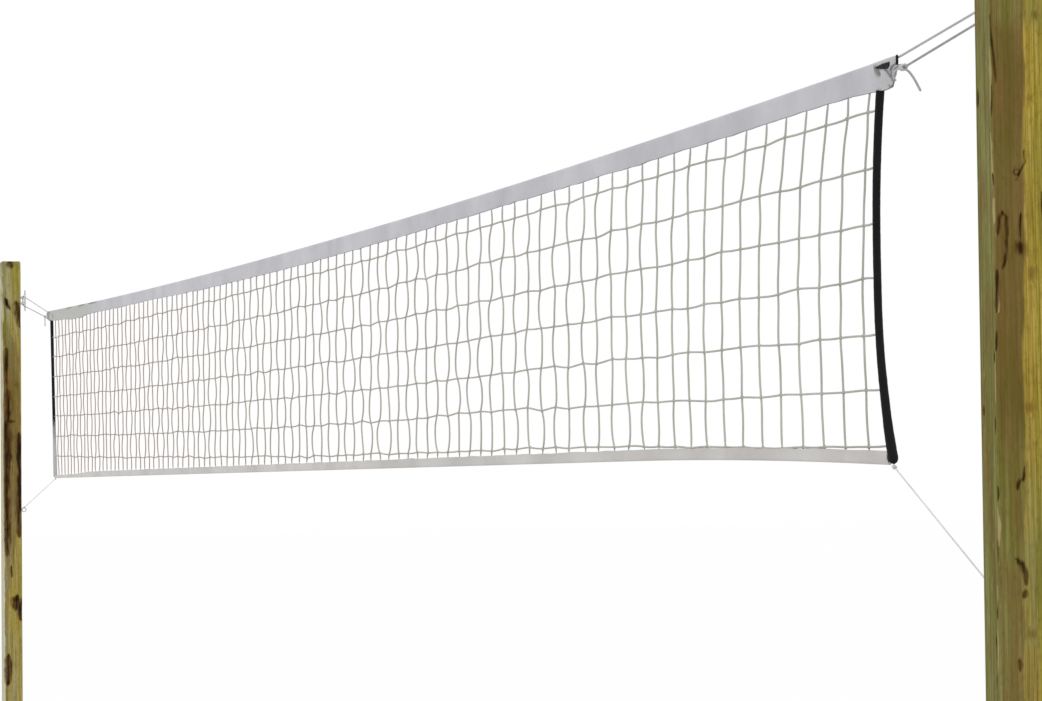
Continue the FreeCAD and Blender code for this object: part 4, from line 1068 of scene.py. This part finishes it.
def post_section(step):
    """Points round a square post with worn edges: place, and distance round from the corner
    between the front and the outer face, as (x, y, round)."""
    half = POST_SIDE / 2
    flat = half - POST_EDGE
    points = []
    for number, away in enumerate(np.array(((0, -1), (1, 0), (0, 1), (-1, 0)))):
        across = np.array((-away[1], away[0]))
        middle = (number - 1) * POST_SIDE + half
        for along in np.linspace(-flat, flat, int(round(2 * flat / step)) + 1):
            points.append((*(half * away + along * across), middle + along))
        for share in (0.25, 0.5, 0.75):
            turn = share * math.pi / 2
            edge = flat * (away + across) + POST_EDGE * (math.cos(turn) * away + math.sin(turn) * across)
            points.append((*edge, middle + flat + 2 * POST_EDGE * share))
    return np.array(points)


def stroke(across, up, points, reach):
    """How near each vertex is to a line drawn on a surface, 1 on it and 0 at its reach, which
    narrows to the line's ends; points and reach are in mm."""
    near = np.zeros_like(up)
    spots = np.array(points, float) / 1000
    reach = reach / 1000
    if len(spots) == 1:
        spots = np.array([spots[0], spots[0] + (0.0, 1e-6)])
    runs = runs_along(spots)
    for start, end, done, after in zip(spots, spots[1:], runs, runs[1:]):
        left, low = np.minimum(start, end) - reach
        right, high = np.maximum(start, end) + reach
        rows = np.nonzero((up > low) & (up < high) & (across > left) & (across < right))[0]
        along = end - start
        away = np.stack([across[rows] - start[0], up[rows] - start[1]], axis=1)
        share = np.clip(away @ along / float(along @ along), 0.0, 1.0)
        distance = np.linalg.norm(away - share[:, None] * along, axis=1)
        placed = np.clip((done + share * (after - done)) / runs[-1], 0.0, 1.0)
        width = reach
        if runs[-1] >= reach:
            width = reach * (0.35 + 0.65 * np.sqrt(np.sin(np.pi * placed)))
        near[rows] = np.maximum(near[rows], 1 - distance / width)
    return near


# Marks of each post's timber: (reach in mm, points round and up in mm). "edge" is where the
# yellow side starts, in mm round, "green" how green the front is and "pale_front" how pale, by
# height in mm; "bold" widens every mark
MARKS = {
    "right": {
        "dark": [
            (4, [(-4, 2400), (0, 2360), (3, 2335), (8, 2290)]), (4, [(-2, 2287), (-3, 2238)]),
            (3.5, [(-2, 2147), (-1, 2126)]), (9, [(-83, 2290), (-82, 2262)]),
            (3.0, [(51, 2185), (53, 2166), (46, 2153), (40, 2144), (34, 2148), (36, 2157), (41, 2153)]),
            (3.5, [(38, 2139)]),
            (5, [(7, 2051), (9, 2075), (14, 2086), (20, 2079), (20, 2050), (18, 2010), (12, 1995)]),
            (6, [(4, 1995), (2, 1960), (2, 1930)]), (4, [(1, 1901), (0, 1868)]), (9, [(42, 2034), (41, 2026)]),
            (3, [(43, 2045), (44, 2085)]), (4, [(-8, 1866), (-9, 1850)]), (8, [(-75, 1782), (-76, 1768)]),
            (4, [(-8, 1765), (-10, 1735)]), (5, [(-2, 1655), (-3, 1632)]), (4, [(-6, 1572), (-7, 1537)]),
            (5, [(44, 1686), (42, 1668), (34, 1660), (31, 1650)]),
            (6, [(27, 1542), (37, 1533), (42, 1517), (44, 1500)]), (4, [(-14, 1468), (-15, 1446)]),
            (5, [(-22, 1425), (-24, 1385)]), (4, [(-24, 1360), (-25, 1335)]), (4, [(-22, 1200), (-18, 1120)]),
            (6, [(42, 1493), (40, 1480)]), (5, [(30, 1385), (31, 1366)]), (7, [(30, 1180), (34, 1168)]),
            (6, [(70, 960), (73, 948)]), (8, [(22, 690), (24, 672)]), (5, [(-4, 900), (-3, 700), (-6, 520)]),
            (9, [(-60, 820), (-61, 806)]), (7, [(60, 420), (63, 405)]), (4, [(80, 2120), (82, 2040)]),
        ],
        # Painted highlight along the right post's worn corner, beside its cracks
        "pale_and_highlight": [
            (5, [(-7, 2350), (-4, 2300), (-9, 2255)]), (5, [(-8, 2215), (-4, 2160), (-2, 2125)]),
            (5, [(-1, 2108), (0, 2070)]), (4, [(-6, 1850), (-4, 1790)]), (4, [(2, 1965), (6, 1930)]),
            (6, [(-4, 1622), (0, 1590), (-3, 1560)]), (4, [(-12, 1500), (-10, 1475)]),
            (5, [(-16, 1430), (-12, 1370)]), (5, [(-10, 1180), (-6, 1000)]), (5, [(-3, 860), (-5, 560)]),
        ],
        "knot": [
            (10, [(61, 2266)]), (8, [(73, 2399)]), (10, [(55, 1779)]), (8, [(64, 1722)]),
            (9, [(62, 1995), (61, 1985)]), (11, [(49, 1424)]), (14, [(42, 2030)]), (12, [(64, 1090)]),
            (13, [(31, 1174)]), (13, [(23, 681)]), (12, [(62, 412)]), (14, [(-60, 812)]),
        ],
        "edge": [(2422, 54), (1869, 46), (1336, 38), (700, 42), (0, 50)],
        "green": [(2750, 0.9), (2400, 0.7), (2370, 0.15), (2250, 0.05), (2180, 0.25), (1960, 0.1), (1780, 0.1),
                  (1700, 0.55), (1560, 0.8), (1480, 0.7), (1330, 0.45), (900, 0.5), (0, 0.4)],
        "seed": 41,
        "bold": 1.4,
        "pale_front": [(2750, 0.15), (0, 0.15)],
    },
    "left": {
        "dark": [
            (20, [(40, 2752), (46, 2715)]), (24, [(70, 2540), (80, 2510), (86, 2460), (88, 2410)]),
            (13, [(14, 2560), (24, 2530), (40, 2500)]), (12, [(20, 2300), (22, 2180)]),
            (13, [(12, 2260), (16, 2150), (20, 2050)]), (24, [(22, 2090), (26, 1980), (22, 1880)]),
            (12, [(18, 1925), (60, 1920)]),
            (26, [(22, 1960), (20, 1800), (20, 1700), (18, 1600)]), (22, [(18, 1700), (17, 1550), (20, 1420)]),
            (18, [(80, 1860), (84, 1740), (84, 1620)]), (20, [(84, 1700), (84, 1520), (80, 1330)]),
            (20, [(18, 1560), (20, 1400), (18, 1230)]), (34, [(70, 1020), (62, 950)]),
            (22, [(84, 990), (88, 900)]), (24, [(24, 720), (18, 570)]), (9, [(70, 330), (72, 305)]),
            (7, [(40, 1180), (42, 1120)]),
        ],
        "pale_and_highlight": [],
        "knot": [
            (16, [(60, 970)]), (16, [(78, 2480)]), (14, [(22, 650)]), (13, [(66, 2110)]), (12, [(45, 1923)]),
            (12, [(71, 318)]),
        ],
        "edge": [(2750, 20), (2450, 24), (2250, 84), (1900, 92), (1450, 84), (1000, 20), (0, 24)],
        "green": [(2750, 0.9), (2500, 0.95), (2420, 0.75), (2300, 0.35), (2100, 0.15), (1500, 0.2),
                  (1200, 0.55), (900, 0.5), (600, 0.8), (0, 0.6)],
        "seed": 43,
        "bold": 1.6,
        "pale_front": [(2750, 0.35), (2450, 0.55), (2200, 0.62), (1500, 0.70), (900, 0.9), (0, 1.0)],
    },
}


def post_marks(side, round_it, z):
    """Dark, pale and knot amounts at each vertex: the marks seen in the photograph and,
    on the two faces it doesn't show, a few of the same kind."""
    marks = MARKS[side]
    amounts = {kind: np.zeros_like(z) for kind in ("dark", "pale_and_highlight", "knot")}

    def add(kind, points, reach, strength=1.0):
        np.maximum(amounts[kind], strength * stroke(round_it, z, points, reach), out=amounts[kind])

    # The pale strokes are painted highlight along a corner
    for kind in amounts:
        for reach, points in marks[kind]:
            add(kind, points, marks["bold"] * reach)
    chance = np.random.default_rng(marks["seed"])
    hidden = (1000 * POST_SIDE * 1.05, 1000 * POST_SIDE * 2.95)
    for _ in range(HIDDEN_KNOTS):
        spot = (chance.uniform(*hidden), chance.uniform(80, 2650))
        reach = chance.uniform(7, 15)
        add("knot", [spot], reach)
        add("dark", [spot], 0.5 * reach, 0.8)
    for _ in range(HIDDEN_CRACKS):
        across, low = chance.uniform(*hidden), chance.uniform(60, 2300)
        high = low + chance.uniform(60, 360)
        middle = (across + chance.uniform(-4, 4), (low + high) / 2)
        add("dark", [(across, low), middle, (across + chance.uniform(-6, 6), high)], 3.5)
    return amounts


def make_post(side, material, across, up):
    """One post's timber; across and up are its mesh steps."""
    spec, marks = POSTS[side], MARKS[side]
    section = post_section(across)
    middle = np.arange(0.002, POST_HEIGHT - 0.006, up)
    levels = np.concatenate([[0.0], middle, [POST_HEIGHT - 0.003, POST_HEIGHT]])
    local_x, local_y, round_it = (np.tile(section[:, axis], len(levels)) for axis in range(3))
    z = np.repeat(levels, len(section))
    height = 1000 * z
    amounts = post_marks(side, round_it, z)
    wear = TOP_WEAR * smooth_step(z, POST_HEIGHT - TOP_WEAR_HEIGHT, POST_HEIGHT)
    wear += CRACK_DEPTH * np.clip(2.5 * amounts["dark"] - 0.8, 0.0, 1.0)
    inset = 1 - wear / (POST_SIDE / 2)
    turn = math.radians(spec["turn"])
    x, y = local_x * inset, local_y * inset
    world_x = spec["centre"][0] + x * math.cos(turn) - y * math.sin(turn)
    world_y = spec["centre"][1] + x * math.sin(turn) + y * math.cos(turn)
    shape = (np.stack([world_x, world_y, z], axis=1), tube_faces(len(levels), len(section)))
    piece = dressed(side + "_timber", shape, material, side + "_post", "posts")
    boundary = read(marks["edge"], height) / 1000 + 0.003 * ripple(z, (0.5, 0.17), marks["seed"])
    on_outer = smooth_step(round_it, boundary - 0.002, boundary + 0.002) * (round_it < POST_SIDE * 1.5)
    far = 0.8 * (0.5 + 0.5 * ripple(round_it + 0.02 * z, (0.11, 0.067), marks["seed"] + 1))
    front_pale = read(marks["pale_front"], height) * (1 - smooth_step(round_it, 0.0, 0.012))
    for name, values in (("grain", np.stack([local_x, local_y, z], axis=1)),
                         ("dark", amounts["dark"]),
                         ("knot", amounts["knot"]),
                         ("yellow", np.where(round_it > POST_SIDE, far, on_outer)),
                         ("green", np.where(round_it < 0.0, 1.0, read(marks["green"], height))),
                         ("pale_and_highlight", np.maximum(amounts["pale_and_highlight"], front_pale))):
        add_values(piece, name, values)


def drawn_edge(amount, wobble, low, high):
    """Turns a soft amount into a mark with a rough edge."""
    rough = plus(amount, times(math_node("SUBTRACT", wobble, 0.5), 1.7))
    return rescale(rough, low, high, settings={"interpolation_type": "SMOOTHSTEP"})


def stretched_noise(grain, across, up, detail):
    """Noise in the timber's own directions, drawn out along the post."""
    return noise(scaled(grain, (across, across, up)), 1.0, detail)


def late_wood(grain, knots, pith, ring_pitch):
    """1 in the dark part of each growth ring: rings round a pith, leaning and swollen at knots."""
    tree = grain.id_data
    slow = scaled(grain, (9.0, 9.0, 1.3))
    warp = node(tree, "TexNoise", inputs={"Vector": slow, "Scale": 1.0, "Detail": 3.0}).outputs["Color"]
    shifted = node(tree, "VectorMath", {"operation": "MULTIPLY_ADD"},
                   {0: warp, 1: (0.045, 0.045, 0.0), 2: grain}).outputs["Vector"]
    inputs = {"Vector": shifted, "Location": (*pith, 0.0), "Scale": (1.0, 1.0, 0.0)}
    flat = node(tree, "Mapping", inputs=inputs)
    distance = node(tree, "VectorMath", {"operation": "LENGTH"}, {0: flat.outputs["Vector"]}).outputs["Value"]
    rise = node(tree, "SeparateXYZ", inputs={"Vector": grain}).outputs["Z"]
    lean = plus(distance, times(rise, 0.010))
    swollen = plus(lean, times(knots, 0.008))
    rings = math_node("FRACT", math_node("DIVIDE", swollen, ring_pitch), 0.0)
    return rescale(rings, 0.45, 0.95)


def layered(colour, tints, layers):
    """A colour with tints laid over it one by one, each by its own amount."""
    for tint, amount in layers:
        colour = mix(amount, colour, tints[tint])
    return colour


def wood_material(name, tints, pith, ring_pitch, fleck):
    """Sawn softwood, treated green: growth rings stretched along the post, with the cracks and knots of its
    own timber, a paler front and a painted highlight along a corner, broken up in flecks per metre."""
    material, tree, shader = new_material(name, Specular_IOR_Level=0.06)
    tints = {tint: rgb(*colour) for tint, colour in tints.items()}
    grain = stored(tree, "grain", "Vector")
    marks = {kind: stored(tree, kind) for kind in ("dark", "pale_and_highlight", "knot", "yellow", "green")}
    late = late_wood(grain, marks["knot"], pith, ring_pitch)
    fine = stretched_noise(grain, 2.8 * fleck, 7.0, 4.0)
    bands = stretched_noise(grain, 0.6 * fleck, 1.6, 3.0)
    patches = stretched_noise(grain, 24.0, 7.0, 4.0)
    mottle = stretched_noise(grain, 160.0, 70.0, 4.0)
    wobble = stretched_noise(grain, fleck, 0.22 * fleck, 6.0)
    faded = rescale(stretched_noise(grain, 0.6 * fleck, 0.12 * fleck, 4.0), 0.38, 0.58, 0.35, 1.0)
    heart = layered(tints["brown"], tints, (
        ("warm_brown", rescale(bands, 0.38, 0.62)),
        ("olive", rescale(patches, 0.45, 0.62, 0.0, 0.8))))
    sap = layered(tints["yellow"], tints, (
        ("ochre", rescale(bands, 0.40, 0.60)),
        ("straw", rescale(fine, 0.50, 0.62, 0.0, 0.65)),
        ("vein", rescale(bands, 0.52, 0.66, 0.0, 0.75))))
    tinted = times(marks["green"], rescale(patches, 0.35, 0.6, 0.35, 1.0))
    greens = mix(rescale(bands, 0.4, 0.6), tints["green"], tints["pale_green"])
    # Pale marks: painted highlight along the right post's corner, and the paler front
    pale_and_highlight = times(drawn_edge(marks["pale_and_highlight"], wobble, 0.25, 0.70), 0.75)
    drawn = rescale(marks["dark"], 0.0, 0.12)
    halo = times(drawn_edge(marks["dark"], wobble, 0.05, 0.85), 0.8)
    dark = times(drawn_edge(marks["dark"], wobble, 0.45, 1.00), drawn)
    base = layered(mix(tinted, mix(marks["yellow"], heart, sap), greens), tints, (
        ("late", times(late, 0.28)),
        ("dark", rescale(fine, 0.48, 0.30, 0.0, 0.45)),
        ("vein", rescale(mottle, 0.50, 0.70, 0.0, 0.35)),
        ("pale_and_highlight", times(pale_and_highlight, rescale(marks["pale_and_highlight"], 0.0, 0.12))),
        ("knot", times(drawn_edge(marks["knot"], patches, 0.15, 1.10), 0.6)),
        ("halo", times(halo, drawn)),
        ("crack", times(dark, faded))))
    feed(shader, "Base Color", base)
    feed(shader, "Roughness", rescale(fine, 0.3, 0.7, 0.66, 0.86))
    relief = math_node("SUBTRACT", blend(late, 0.4, fine, 0.8), times(dark, 1.5))
    bump(shader, relief, 0.6, 0.0012)
    return material


TIMBER = {
    "green": (112, 112, 50), "pale_green": (136, 138, 84), "olive": (98, 84, 34), "yellow": (150, 134, 46),
    "ochre": (172, 140, 56), "straw": (190, 168, 92), "vein": (92, 72, 24), "brown": (108, 88, 46),
    "warm_brown": (122, 94, 54), "late": (92, 76, 30), "dark": (64, 52, 20), "pale_and_highlight": (168, 154, 108),
    "knot": (98, 66, 20), "halo": (78, 54, 16), "crack": (42, 28, 8),
}
LEFT_TIMBER = {
    **TIMBER, "green": (132, 128, 56), "pale_green": (168, 164, 126), "yellow": (158, 142, 62),
    "brown": (120, 98, 50), "warm_brown": (132, 106, 58), "halo": (78, 48, 20), "crack": (30, 20, 8),
    "pale_and_highlight": (206, 203, 178),
}


def finish_hardware():
    steel = metal_material("zinc_steel", rgb(216, 218, 220), 0.48)
    for name in ("left_cleat", "right_cleat", "cleat_screws", "left_foot_eye", "right_foot_eye"):
        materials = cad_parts[name].data.materials
        materials.clear()
        materials.append(steel)


def main():
    make_camera()
    rope = cord_material("braided_rope", rgb(214, 214, 216), rgb(152, 152, 156), darkened=rgb(132, 132, 134))
    tie = cord_material("tie_cord", rgb(228, 227, 224), rgb(184, 183, 180))
    make_ropes(rope, tie)
    make_rope_knots(rope)
    make_tie_knots(tie)
    make_lights()
    make_floor()
    # The headband's dark marks are painted shadow at its right end and dark streaks at its left
    head = cloth_material("headband_cloth", rgb(199, 198, 204), rgb(172, 170, 177), 0.0012, 0.0002,
                          stains_and_shade=(("aged", rgb(170, 172, 166)), ("shade_and_marks", rgb(104, 104, 102))))
    foot = cloth_material("foot_band_cloth", rgb(204, 201, 198), rgb(178, 174, 171), 0.0012, 0.0002)
    thread = cord_material("thread", rgb(211, 210, 212), rgb(178, 178, 180), 2000.0)
    make_band(HEADBAND, head)
    make_band(FOOT_BAND, foot)
    make_stitches(HEADBAND, thread)
    make_stitches(FOOT_BAND, thread)
    make_band_cord(HEADBAND, rope)
    make_band_cord(FOOT_BAND, tie)
    sleeve = cloth_material("black_sleeve", rgb(20, 20, 21), rgb(8, 8, 8), 0.0008, 0.00015, 0.85, 0.03, 0.2,
                            stains_and_shade=(("bleached", rgb(176, 174, 172)),))
    make_sleeves(sleeve, rod_material())
    webbing = cloth_material("black_webbing", rgb(30, 30, 31), rgb(14, 14, 15), 0.0010, 0.0003, 0.85, 0.03,
                             0.2, stains_and_shade=(("bleached", rgb(150, 150, 148)),))
    make_tab_leg(webbing)
    make_tab_end(webbing)
    make_tab_root(webbing)
    make_left_tab(webbing)
    make_lashing(rope)
    # The white twine is drawn grey: painted shade for its side that faces the camera
    make_netting(cord_material("net_twine", rgb(190, 188, 179), rgb(158, 156, 147), far=rgb(166, 148, 140)))
    make_post("left", wood_material("left_timber_grain", LEFT_TIMBER, (0.02, 0.05), 0.004, 70.0), 0.005, 0.008)
    make_post("right", wood_material("right_timber_grain", TIMBER, (-0.03, 0.06), 0.007, 150.0), 0.0025, 0.004)
    finish_hardware()


main()
